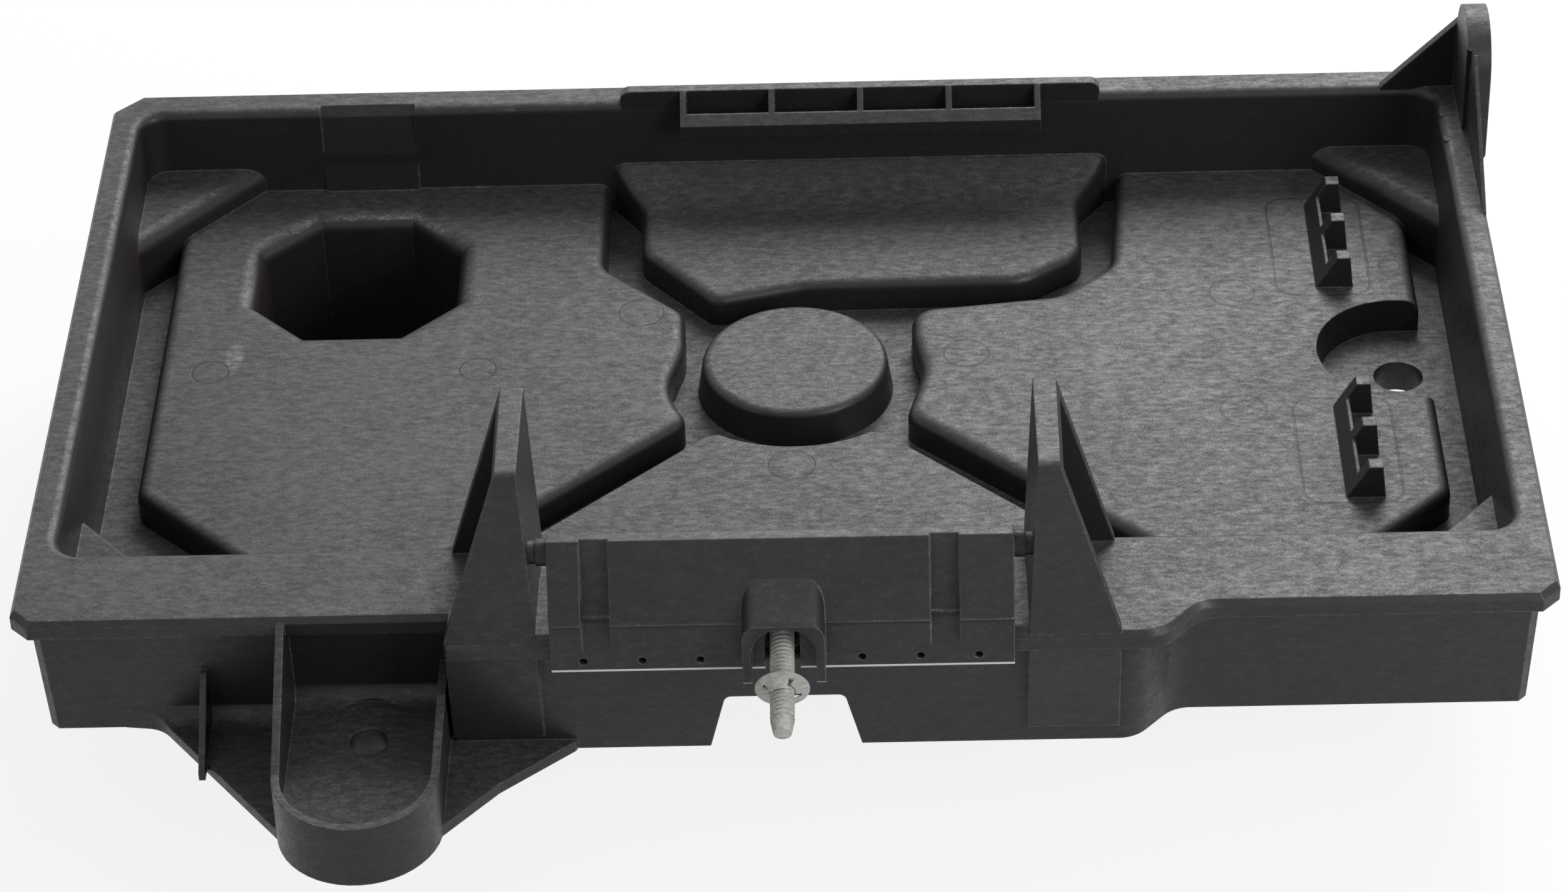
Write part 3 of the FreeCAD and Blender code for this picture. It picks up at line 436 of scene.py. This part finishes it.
def spot(tree, centre, half_size, soft=0.5):
    """A soft oval patch round a place, with its half width and half depth."""
    x, y, _ = place_of(tree)
    across = sum_of(tree, sum_of(tree, x, centre[0], "SUBTRACT"), half_size[0], "DIVIDE")
    along = sum_of(tree, sum_of(tree, y, centre[1], "SUBTRACT"), half_size[1], "DIVIDE")
    square = sum_of(tree, sum_of(tree, across, across, "MULTIPLY"), sum_of(tree, along, along, "MULTIPLY"))
    return ramp(tree, square, 1.0 - soft, 1.0 + soft, 1.0, 0.0)


def mouth_scuffs(tree, mottle):
    """Pale speckled rubbing on the rounded mouth of the deep pocket, at its back and left."""
    normal = put(tree, "ShaderNodeSeparateXYZ")
    link(tree, put(tree, "ShaderNodeNewGeometry").outputs["Normal"], normal.inputs[0])
    curve = band(tree, normal.outputs["Z"], 0.70, 0.93, 0.08)
    far = spot(tree, row(*MOUTH_BACK), (0.025, 0.006))
    left = spot(tree, row(*MOUTH_LEFT), (0.004, 0.016))
    place = sum_of(tree, far, sum_of(tree, left, 0.6, "MULTIPLY"), "MAXIMUM")
    worn = sum_of(tree, sum_of(tree, mottle.outputs["Fleck"], 0.8, "MULTIPLY"), 0.2)
    return sum_of(tree, sum_of(tree, curve, place, "MULTIPLY"), worn, "MULTIPLY")


def tray_material(looks):
    mat, tree, shader = material("mottled_moulding_with_painted_light")
    mottle = group(tree, "Fibre Mottle", Coarseness=1.45)
    cloud, fleck, pit = (mottle.outputs[name] for name in ("Cloud", "Fleck", "Pit"))
    up = group(tree, "Faces Up").outputs["Up"]
    edge_wear_and_highlight = group(tree, "Edge Wear and Highlight", Reach=looks.edge_reach)
    # Painted light: faces that look up take the lit colour and upright faces the shaded colour, with the
    # light from above painted in; the cloud, flecks and pits are the moulding's own grain.
    top = mix_colour(tree, cloud, tone(looks.lit_floor_colour, 0.82), tone(looks.lit_floor_colour, 1.12))
    top = tint(tree, top, fleck, 0.75, tone(looks.lit_floor_colour, 2.2))
    top = tint(tree, top, pit, 0.65, tone(looks.lit_floor_colour, 0.30))
    wall = mix_colour(tree, cloud, tone(looks.shaded_wall_colour, 0.85), tone(looks.shaded_wall_colour, 1.2))
    wall = tint(tree, wall, fleck, 0.6, tone(looks.shaded_wall_colour, 2.4))
    # Painted light and shade: the Faces Up mask picks the lit top colour or the shaded wall colour.
    body = mix_colour(tree, up, wall, top)
    # Rubbed wear and painted highlight: sharp edges turn pale and speckled.
    edge = sum_of(tree, edge_wear_and_highlight.outputs["Edge"], ramp(tree, fleck, 0.0, 1.0, 0.18, 0.62), "MULTIPLY", True)
    body = mix_colour(tree, edge, body, tone(looks.wear_and_highlight_colour))
    body = mix_colour(tree, mouth_scuffs(tree, mottle), body, tone(looks.wear_and_highlight_colour, 0.9))
    smear = spot(tree, row(*SMEAR), (0.0022, 0.006))
    smear = sum_of(tree, smear, ramp(tree, fleck, 0.0, 0.6, 0.2, 0.8), "MULTIPLY")
    body = mix_colour(tree, smear, body, tone(looks.wear_and_highlight_colour, 0.8))
    seams = pad_seams(tree)
    link(tree, mix_colour(tree, seams, body, tone(looks.lit_floor_colour, 0.3)), shader.inputs["Base Color"])

    rough = ramp(tree, up, 0.0, 1.0, looks.wall_rough, looks.floor_rough)
    uneven = sum_of(tree, sum_of(tree, pit, fleck, "SUBTRACT"), 0.10, "MULTIPLY")
    uneven = sum_of(tree, uneven, sum_of(tree, cloud, -0.06, "MULTIPLY"))
    link(tree, sum_of(tree, rough, uneven), shader.inputs["Roughness"])
    grain = sum_of(tree, mottle.outputs["Height"], ramp(tree, up, 0.0, 1.0, 0.25, 1.0), "MULTIPLY")
    bump = put(tree, "ShaderNodeBump")
    bump.inputs["Strength"].default_value = 0.5
    bump.inputs["Distance"].default_value = 0.00014
    link(tree, sum_of(tree, grain, seams, "SUBTRACT"), bump.inputs["Height"])
    link(tree, edge_wear_and_highlight.outputs["Normal"], bump.inputs["Normal"])
    link(tree, bump.outputs[0], shader.inputs["Normal"])
    shader.inputs["Specular IOR Level"].default_value = 0.34
    return mat


def clamp_faces(tree):
    """Masks of the clamp's faces that look forward and of those that lean upwards, which place its painted
    light and shade.
    """
    split = put(tree, "ShaderNodeSeparateXYZ")
    link(tree, put(tree, "ShaderNodeNewGeometry").outputs["Normal"], split.inputs[0])
    forward = ramp(tree, split.outputs["Y"], -0.3, -0.6)
    return forward, ramp(tree, split.outputs["Z"], 0.55, 0.85)


def clamp_material(looks):
    mat, tree, shader = material("dark_moulding_with_painted_light")
    mottle = group(tree, "Fibre Mottle", Coarseness=1.2)
    cloud, fleck, pit = (mottle.outputs[name] for name in ("Cloud", "Fleck", "Pit"))
    edge_wear_and_highlight = group(tree, "Edge Wear and Highlight", Reach=looks.edge_reach)
    body = mix_colour(tree, cloud, tone(looks.clamp_colour, 0.85), tone(looks.clamp_colour, 1.2))
    body = tint(tree, body, fleck, 0.6, tone(looks.clamp_colour, 2.4))
    front, up = clamp_faces(tree)
    # Painted light: faces that lean upwards are lightened, with paler flecks on them, as if lit from
    # above.
    body = tint(tree, body, up, 0.75, tone(looks.clamp_colour, 2.6))
    body = tint(tree, body, sum_of(tree, up, fleck, "MULTIPLY"), 0.6, tone(looks.clamp_colour, 5.0))
    x, _, z = place_of(tree)
    beside = sum_of(tree, sum_of(tree, x, HOOD_MIDDLE, "SUBTRACT"), 0.0, "ABSOLUTE")
    beside = sum_of(tree, ramp(tree, beside, 0.0100, 0.0112), front, "MULTIPLY")
    # Painted shadow: a dark band just under the leaf's lower edge, on the front faces beside the hood.
    under = sum_of(tree, band(tree, z, LEAF_EDGE - 0.0011, LEAF_EDGE - 0.0001, 0.0002), beside, "MULTIPLY")
    # Rubbed wear and a painted highlight: a pale speckled band just above the leaf's lower edge, beside
    # the hood.
    above = sum_of(tree, band(tree, z, LEAF_EDGE + 0.0001, LEAF_EDGE + 0.0007, 0.0003), beside, "MULTIPLY")
    body = tint(tree, body, under, 0.9, tone(looks.clamp_colour, 0.12))
    worn = sum_of(tree, above, ramp(tree, fleck, 0.0, 1.0, 0.1, 0.6), "MULTIPLY")
    body = mix_colour(tree, worn, body, tone(looks.wear_and_highlight_colour))
    # Rubbed wear and painted highlight: sharp edges turn pale and speckled.
    edge = sum_of(tree, edge_wear_and_highlight.outputs["Edge"], ramp(tree, fleck, 0.0, 1.0, 0.3, 0.7), "MULTIPLY", True)
    # Painted highlight: a pale line along the clamp's lower edge, where a small rounding would catch the
    # light.
    painted_hem_highlight = band(tree, z, CLAMP_BOX[0][2] - 0.001, CLAMP_BOX[0][2] + 0.0006, 0.00012)
    body = mix_colour(tree, edge, body, tone(looks.wear_and_highlight_colour))
    link(tree, mix_colour(tree, painted_hem_highlight, body, tone(looks.wear_and_highlight_colour, 2.0)), shader.inputs["Base Color"])
    uneven = sum_of(tree, sum_of(tree, pit, fleck, "SUBTRACT"), 0.10, "MULTIPLY")
    link(tree, sum_of(tree, ramp(tree, cloud, 0.0, 1.0, 0.52, 0.44), uneven), shader.inputs["Roughness"])
    bump = put(tree, "ShaderNodeBump")
    bump.inputs["Strength"].default_value = 0.25
    bump.inputs["Distance"].default_value = 0.00007
    link(tree, mottle.outputs["Height"], bump.inputs["Height"])
    link(tree, edge_wear_and_highlight.outputs["Normal"], bump.inputs["Normal"])
    link(tree, bump.outputs[0], shader.inputs["Normal"])
    shader.inputs["Specular IOR Level"].default_value = 0.34
    return mat


def zinc_material(looks, name, rough):
    mat, tree, shader = material(name)
    mottle = group(tree, "Fibre Mottle", Coarseness=2.6)
    cloud, fleck, pit = (mottle.outputs[label] for label in ("Cloud", "Fleck", "Pit"))
    body = mix_colour(tree, cloud, tone(looks.zinc_colour, 0.72), tone(looks.zinc_colour))
    body = tint(tree, body, pit, 0.45, tone(looks.zinc_colour, 0.4))
    link(tree, tint(tree, body, fleck, 0.4, tone(looks.zinc_colour, 1.35)), shader.inputs["Base Color"])
    link(tree, ramp(tree, fleck, 0.0, 1.0, rough + 0.10, rough - 0.06), shader.inputs["Roughness"])
    bump = put(tree, "ShaderNodeBump")
    bump.inputs["Strength"].default_value = 0.3
    bump.inputs["Distance"].default_value = 0.00005
    link(tree, mottle.outputs["Height"], bump.inputs["Height"])
    link(tree, bump.outputs[0], shader.inputs["Normal"])
    shader.inputs["Metallic"].default_value = 0.45
    return mat


def dress(obj, mat):
    if not obj.data.materials:
        obj.data.materials.append(mat)
    for i in range(len(obj.data.materials)):
        obj.data.materials[i] = mat


class TrayLooks(bpy.types.PropertyGroup):
    # Painted light and shade: the wall colour is the moulding in shade, and the floor colour is the
    # moulding lit from above.
    shaded_wall_colour: bpy.props.FloatVectorProperty(
        name="Wall colour", description="Colour of upright faces", subtype="COLOR", size=3,
        default=(0.0145, 0.0118, 0.0150))
    lit_floor_colour: bpy.props.FloatVectorProperty(
        name="Floor colour", description="Colour of faces that look up", subtype="COLOR", size=3,
        default=(0.047, 0.0442, 0.043))
    # Pale colour of rubbed wear, also used for painted highlights on edges.
    wear_and_highlight_colour: bpy.props.FloatVectorProperty(
        name="Rubbed colour", description="Colour of rubbed edges", subtype="COLOR", size=3,
        default=(0.30, 0.29, 0.285))
    clamp_colour: bpy.props.FloatVectorProperty(
        name="Clamp colour", description="Colour of the clamp", subtype="COLOR", size=3,
        default=(0.0135, 0.0122, 0.0128))
    zinc_colour: bpy.props.FloatVectorProperty(
        name="Zinc colour", description="Colour of the plated steel", subtype="COLOR", size=3,
        default=(0.40, 0.415, 0.385))
    wall_rough: bpy.props.FloatProperty(
        name="Wall roughness", description="Roughness of upright faces", default=0.44, min=0.0,
        max=1.0)
    floor_rough: bpy.props.FloatProperty(
        name="Floor roughness", description="Roughness of faces that look up", default=0.58, min=0.0,
        max=1.0)
    edge_reach: bpy.props.FloatProperty(
        name="Edge reach", description="Width of the softened edges", default=0.0006, unit="LENGTH")


class StudSizes(bpy.types.PropertyGroup):
    radius: bpy.props.FloatProperty(
        name="Thread radius", description="Outer radius of the thread", default=0.00295,
        unit="LENGTH")
    core: bpy.props.FloatProperty(
        name="Core radius", description="Radius at the root of the thread", default=0.00243,
        unit="LENGTH")
    pitch: bpy.props.FloatProperty(
        name="Pitch", description="Distance between threads", default=0.00115, unit="LENGTH")
    length: bpy.props.FloatProperty(
        name="Length", description="From the head's seat to the tip", default=0.0452, unit="LENGTH")
    point: bpy.props.FloatProperty(
        name="Point length", description="Tapered point at the tip", default=0.0042, unit="LENGTH")
    across: bpy.props.FloatProperty(
        name="Head across flats", description="Width of the hexagon", default=0.010, unit="LENGTH")
    head: bpy.props.FloatProperty(
        name="Head thickness", description="Height of the hexagon", default=0.004, unit="LENGTH")
    nut_at: bpy.props.FloatProperty(
        name="Retainer place", description="Distance of the retainer from the head's seat",
        default=0.0316, unit="LENGTH")
    nut_radius: bpy.props.FloatProperty(
        name="Retainer radius", description="Outer radius of the retainer", default=0.00645,
        unit="LENGTH")


class StudioSettings(bpy.types.PropertyGroup):
    focal_pixels: bpy.props.FloatProperty(
        name="Focal length", description="Lens in image pixels", default=7698.0)
    pitch: bpy.props.FloatProperty(
        name="Tilt down", description="Camera's tilt below the horizon", default=math.radians(37.183),
        subtype="ANGLE")
    yaw: bpy.props.FloatProperty(
        name="Turn", description="Camera's turn from straight ahead", default=math.radians(-1.291),
        subtype="ANGLE")
    roll: bpy.props.FloatProperty(
        name="Roll", description="Camera's roll", default=math.radians(1.910), subtype="ANGLE")
    place: bpy.props.FloatVectorProperty(
        name="Place", description="Camera's place in the row frame", size=3,
        default=(-0.13906, -1.02717, 0.76339), subtype="TRANSLATION")
    back_power: bpy.props.FloatProperty(
        name="Back light", description="Power of the light above and behind", default=19.0)
    right_power: bpy.props.FloatProperty(
        name="Right light", description="Power of the light at the right front", default=3.4)
    sky: bpy.props.FloatProperty(
        name="Surroundings", description="Brightness of the pale room", default=0.4)


class TRAY_OT_finishes(bpy.types.Operator):
    """Gives the moulded nodes their finish, with light and shade partly painted into the colour"""
    bl_idname = "tray.finishes"
    bl_label = "Moulded finishes"

    def execute(self, context):
        looks = context.scene.tray_looks
        dress(NODES["tray"], tray_material(looks))
        dress(NODES["hold_down_clamp"], clamp_material(looks))
        return {"FINISHED"}


# The stud's rolled thread: sides of a turn, and how far its head's seat lies from its start
THREAD_STEPS = 28
STUD_SEAT = 0.0006
# The stud's worn end: share of the end's radius, and distance back from the tip in metres
STUD_END = [(1.04, 0.0011), (0.98, 0.0008), (1.02, 0.0006), (0.97, 0.0003), (0.80, 0.0001)]


class TRAY_OT_stud(bpy.types.Operator):
    """Builds the hexagon-headed stud with its rolled thread and plain point"""
    bl_idname = "tray.stud"
    bl_label = "Threaded stud"

    def execute(self, context):
        s = context.scene.tray_stud
        deselect()
        bpy.ops.mesh.primitive_cylinder_add(
            vertices=6, radius=s.across / math.sqrt(3.0), depth=s.head,
            location=(0, 0, STUD_SEAT - s.head / 2.0), rotation=(0, 0, math.radians(30.0)))
        head = named("stud_head")
        bpy.ops.object.transform_apply(location=True, rotation=True, scale=True)
        bevel = head.modifiers.new("Soft", "BEVEL")
        bevel.width = 0.0004
        bevel.segments = 2
        apply_modifiers(head)
        thread_end = s.length - s.point
        end = s.core * 0.92
        shank = [(0.0, -0.0005), (s.core, -0.0005), (s.core, thread_end),
                 (s.radius * 0.97, thread_end + 0.0004)]
        point = [(end * share, s.length - back) for share, back in STUD_END]
        core = turned(shank + point + [(0.0, s.length)], "stud_core")
        half = s.pitch / 2.0
        thread = profile([
            (s.core - 0.00005, -half), (s.core + 0.0001, -half * 0.8), (s.radius - 0.00006, -half * 0.3),
            (s.radius, 0.0), (s.radius - 0.00006, half * 0.3), (s.core + 0.0001, half * 0.8),
            (s.core - 0.00005, half)], "stud_thread")
        bpy.ops.object.mode_set(mode="OBJECT")
        screw = thread.modifiers.new("Thread", "SCREW")
        screw.axis = "Z"
        screw.angle = math.radians(360.0)
        screw.screw_offset = s.pitch
        screw.iterations = int((thread_end - STUD_SEAT) / s.pitch) - 1
        screw.steps = THREAD_STEPS
        screw.render_steps = THREAD_STEPS
        screw.use_merge_vertices = True
        screw.merge_threshold = 1e-6
        apply_modifiers(thread)
        lift_mesh(thread, STUD_SEAT + s.pitch)
        bpy.ops.object.mode_set(mode="EDIT")
        bpy.ops.mesh.select_all(action="SELECT")
        bpy.ops.mesh.fill_holes(sides=0)
        bpy.ops.mesh.select_all(action="SELECT")
        bpy.ops.mesh.normals_make_consistent(inside=False)
        bpy.ops.object.mode_set(mode="OBJECT")
        stud = join([core, thread, head], "threaded_stud")
        on_stud_axis(stud)
        smooth(stud, 32.0)
        dress(stud, zinc_material(context.scene.tray_looks, "zinc_plated_thread", 0.55))
        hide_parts("clamp_stud")
        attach(stud, "tray_body")
        return {"FINISHED"}


RETAINER_STEPS = 72
# The retainer's rings from its rim inwards: radius, and rise over the ring before, in metres
RETAINER_RINGS = [(0.0062, 0.00012), (0.0054, 0.00018), (0.0048, 0.00022),
                  (0.0040, 0.00025), (0.0034, 0.00015), (0.0030, 0.00008)]
# Its two spring tabs: angle of their middle line, half their width, and the width of a slot
TAB_MIDDLE = math.radians(110.0)
TAB_HALF = math.radians(42.0)
SLOT_WIDE = math.radians(11.0)
# How far out from the axis the slots reach, and what lifts the tabs: reach and lift, in metres
SLOT_REACH = 0.0049
TAB_LIFTS = [(0.0042, 0.0005), (0.0036, 0.0005), (0.0031, 0.0004)]


def off_tab(x, y):
    """Angle of a place from the middle line of its nearer spring tab."""
    turn = (math.atan2(y, x) - TAB_MIDDLE) % math.pi
    return min(turn, math.pi - turn)


class TRAY_OT_retainer(bpy.types.Operator):
    """Builds the pressed push-on retainer with its dished ring and spring tabs"""
    bl_idname = "tray.retainer"
    bl_label = "Push-on retainer"

    def cut_slots(self, obj):
        make_active(obj)
        for face in obj.data.polygons:
            x, y, _ = face.center
            beside = TAB_HALF < off_tab(x, y) < TAB_HALF + SLOT_WIDE
            face.select = beside and math.hypot(x, y) < SLOT_REACH
        bpy.ops.object.mode_set(mode="EDIT")
        bpy.context.tool_settings.mesh_select_mode = (False, False, True)
        bpy.ops.mesh.delete(type="FACE")
        bpy.context.tool_settings.mesh_select_mode = (True, False, False)
        bpy.ops.object.mode_set(mode="OBJECT")

    def bend_tabs(self, obj):
        """Lifts each ring of the tabs towards the stud's tip, the inner ones most."""
        for reach, lift in TAB_LIFTS:
            make_active(obj)
            bpy.context.tool_settings.mesh_select_mode = (True, False, False)
            for edge in obj.data.edges:
                edge.select = False
            for face in obj.data.polygons:
                face.select = False
            for corner in obj.data.vertices:
                x, y, _ = corner.co
                corner.select = math.hypot(x, y) < reach and off_tab(x, y) < TAB_HALF + 0.02
            bpy.ops.object.mode_set(mode="EDIT")
            bpy.ops.transform.translate(value=(0.0, 0.0, lift))
            bpy.ops.object.mode_set(mode="OBJECT")

    def execute(self, context):
        s = context.scene.tray_stud
        deselect()
        bpy.ops.mesh.primitive_circle_add(
            vertices=RETAINER_STEPS, radius=s.nut_radius, fill_type="NOTHING", location=(0, 0, 0))
        retainer = named("spring_retainer")
        bpy.ops.object.mode_set(mode="EDIT")
        bpy.ops.mesh.select_all(action="SELECT")
        radius = s.nut_radius
        for ring, height in RETAINER_RINGS:
            share = ring / radius
            bpy.ops.mesh.extrude_region_move(TRANSFORM_OT_translate={"value": (0.0, 0.0, height)})
            bpy.ops.transform.resize(value=(share, share, 1.0), center_override=(0.0, 0.0, 0.0))
            radius = ring
        bpy.ops.object.mode_set(mode="OBJECT")
        self.cut_slots(retainer)
        self.bend_tabs(retainer)
        sheet = retainer.modifiers.new("Sheet", "SOLIDIFY")
        sheet.thickness = 0.0005
        sheet.offset = 0.0
        soft = retainer.modifiers.new("Soft", "BEVEL")
        soft.width = 0.00008
        soft.segments = 1
        soft.limit_method = "ANGLE"
        apply_modifiers(retainer)
        recalculate(retainer)
        lift_mesh(retainer, s.nut_at)
        on_stud_axis(retainer)
        smooth(retainer, 30.0)
        dress(retainer, zinc_material(context.scene.tray_looks, "zinc_plated_sheet", 0.48))
        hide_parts("push_on_retainer")
        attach(retainer, "tray_body")
        return {"FINISHED"}


# The floor's side, its gap under the tray and how much it shines by itself, as the photo's white does
FLOOR_SIZE = 6.0
FLOOR_GAP = 0.0003
FLOOR_GLOW = 0.85
# What the lights point at, above the row frame's zero, and where they hang from there
LIT_HEIGHT = 0.03
BACK_LIGHT = Vector((0.32, 1.0, 0.86))
RIGHT_LIGHT = Vector((0.6, -0.55, 0.35))


class TRAY_OT_studio(bpy.types.Operator):
    """Sets up the pale floor, the soft lights and the camera"""
    bl_idname = "tray.studio"
    bl_label = "Studio"

    def lay_floor(self, middle, level):
        deselect()
        bpy.ops.mesh.primitive_plane_add(size=FLOOR_SIZE, location=(*middle, level))
        floor = named("studio_floor")
        bpy.ops.object.transform_apply(location=True, rotation=True, scale=True)
        mat, tree, shader = material("pale_floor")
        shader.inputs["Base Color"].default_value = (0.86, 0.86, 0.86, 1.0)
        shader.inputs["Roughness"].default_value = 0.9
        glow = put(tree, "ShaderNodeEmission")
        glow.inputs["Strength"].default_value = 1.0
        mixer = put(tree, "ShaderNodeMixShader")
        link(tree, sum_of(tree, seen_directly(tree), FLOOR_GLOW, "MULTIPLY"), mixer.inputs[0])
        link(tree, shader.outputs[0], mixer.inputs[1])
        link(tree, glow.outputs[0], mixer.inputs[2])
        link(tree, mixer.outputs[0], tree.nodes["Material Output"].inputs["Surface"])
        dress(floor, mat)

    def light_room(self, scene, sky):
        """A room that is white where it is seen, and dimmer where it only lights the tray."""
        world = bpy.data.worlds.new("pale_room")
        scene.world = world
        world.use_nodes = True
        tree = world.node_tree
        tree.nodes.clear()
        out = put(tree, "ShaderNodeOutputWorld")
        room = put(tree, "ShaderNodeBackground")
        room.inputs["Color"].default_value = (1.0, 1.0, 1.0, 1.0)
        strength = sum_of(tree, sum_of(tree, seen_directly(tree), 1.0 - sky, "MULTIPLY"), sky)
        link(tree, strength, room.inputs["Strength"])
        link(tree, room.outputs[0], out.inputs["Surface"])

    def hang_lights(self, scene, centre, s):
        for name, offset, size, power in (
                ("back_light", BACK_LIGHT, 0.8, s.back_power),
                ("right_light", RIGHT_LIGHT, 0.4, s.right_power)):
            light = bpy.data.lights.new(name, "AREA")
            light.energy = power
            light.size = size
            lamp = bpy.data.objects.new(name, light)
            scene.collection.objects.link(lamp)
            lamp.location = centre + offset
            lamp.rotation_euler = (-offset).to_track_quat("-Z", "Y").to_euler()

    def place_camera(self, scene, s):
        """Puts the camera where the photo was taken, with the same lens."""
        camera = bpy.data.cameras.new("photo_view")
        camera.sensor_fit = "HORIZONTAL"
        camera.sensor_width = SENSOR_WIDE
        camera.lens = SENSOR_WIDE * s.focal_pixels / IMAGE_WIDE
        camera.shift_x = -(LENS_MIDDLE[0] - IMAGE_WIDE / 2.0) / IMAGE_WIDE
        camera.shift_y = (LENS_MIDDLE[1] - IMAGE_HIGH / 2.0) / IMAGE_WIDE
        camera.clip_start = 0.05
        camera.clip_end = 20.0
        eye = bpy.data.objects.new("photo_view", camera)
        scene.collection.objects.link(eye)
        level = math.cos(s.pitch)
        ahead = Vector((math.sin(s.yaw) * level, math.cos(s.yaw) * level, -math.sin(s.pitch)))
        right = Vector((math.cos(s.yaw), -math.sin(s.yaw), 0.0))
        down = ahead.cross(right)
        turned_right = math.cos(s.roll) * right + math.sin(s.roll) * down
        turned_down = -math.sin(s.roll) * right + math.cos(s.roll) * down
        turn = Matrix((turned_right, -turned_down, -ahead)).transposed().to_4x4()
        eye.matrix_world = Matrix.Translation(Vector(s.place)) @ turn
        scene.camera = eye

    def execute(self, context):
        s = context.scene.tray_studio
        low, high = CAD_BOX
        middle = ((low[0] + high[0]) / 2.0, (low[1] + high[1]) / 2.0)
        self.lay_floor(middle, low[2] - FLOOR_GAP)
        self.light_room(context.scene, s.sky)
        self.hang_lights(context.scene, Vector((*middle, LIT_HEIGHT)), s)
        self.place_camera(context.scene, s)
        context.scene.view_settings.view_transform = "Standard"
        return {"FINISHED"}


class TRAY_PT_looks(bpy.types.Panel):
    bl_label = "Battery Tray"
    bl_idname = "TRAY_PT_looks"
    bl_space_type = "VIEW_3D"
    bl_region_type = "UI"
    bl_category = "Battery Tray"

    def draw(self, context):
        for operator in OPERATORS:
            self.layout.operator(operator.bl_idname)
        for settings in (context.scene.tray_looks, context.scene.tray_stud, context.scene.tray_studio):
            box = self.layout.box()
            for key in settings.bl_rna.properties.keys():
                if key not in ("rna_type", "name"):
                    box.prop(settings, key)


OPERATORS = (TRAY_OT_finishes, TRAY_OT_stud, TRAY_OT_retainer, TRAY_OT_studio)
CLASSES = (TrayLooks, StudSizes, StudioSettings) + OPERATORS + (TRAY_PT_looks,)


def register():
    for cls in CLASSES:
        bpy.utils.register_class(cls)
    bpy.types.Scene.tray_looks = bpy.props.PointerProperty(type=TrayLooks)
    bpy.types.Scene.tray_stud = bpy.props.PointerProperty(type=StudSizes)
    bpy.types.Scene.tray_studio = bpy.props.PointerProperty(type=StudioSettings)


def unregister():
    del bpy.types.Scene.tray_studio
    del bpy.types.Scene.tray_stud
    del bpy.types.Scene.tray_looks
    for cls in reversed(CLASSES):
        bpy.utils.unregister_class(cls)


def main():
    register()
    bpy.ops.tray.finishes()
    bpy.ops.tray.stud()
    bpy.ops.tray.retainer()
    bpy.ops.tray.studio()


if __name__ == "__main__":
    main()
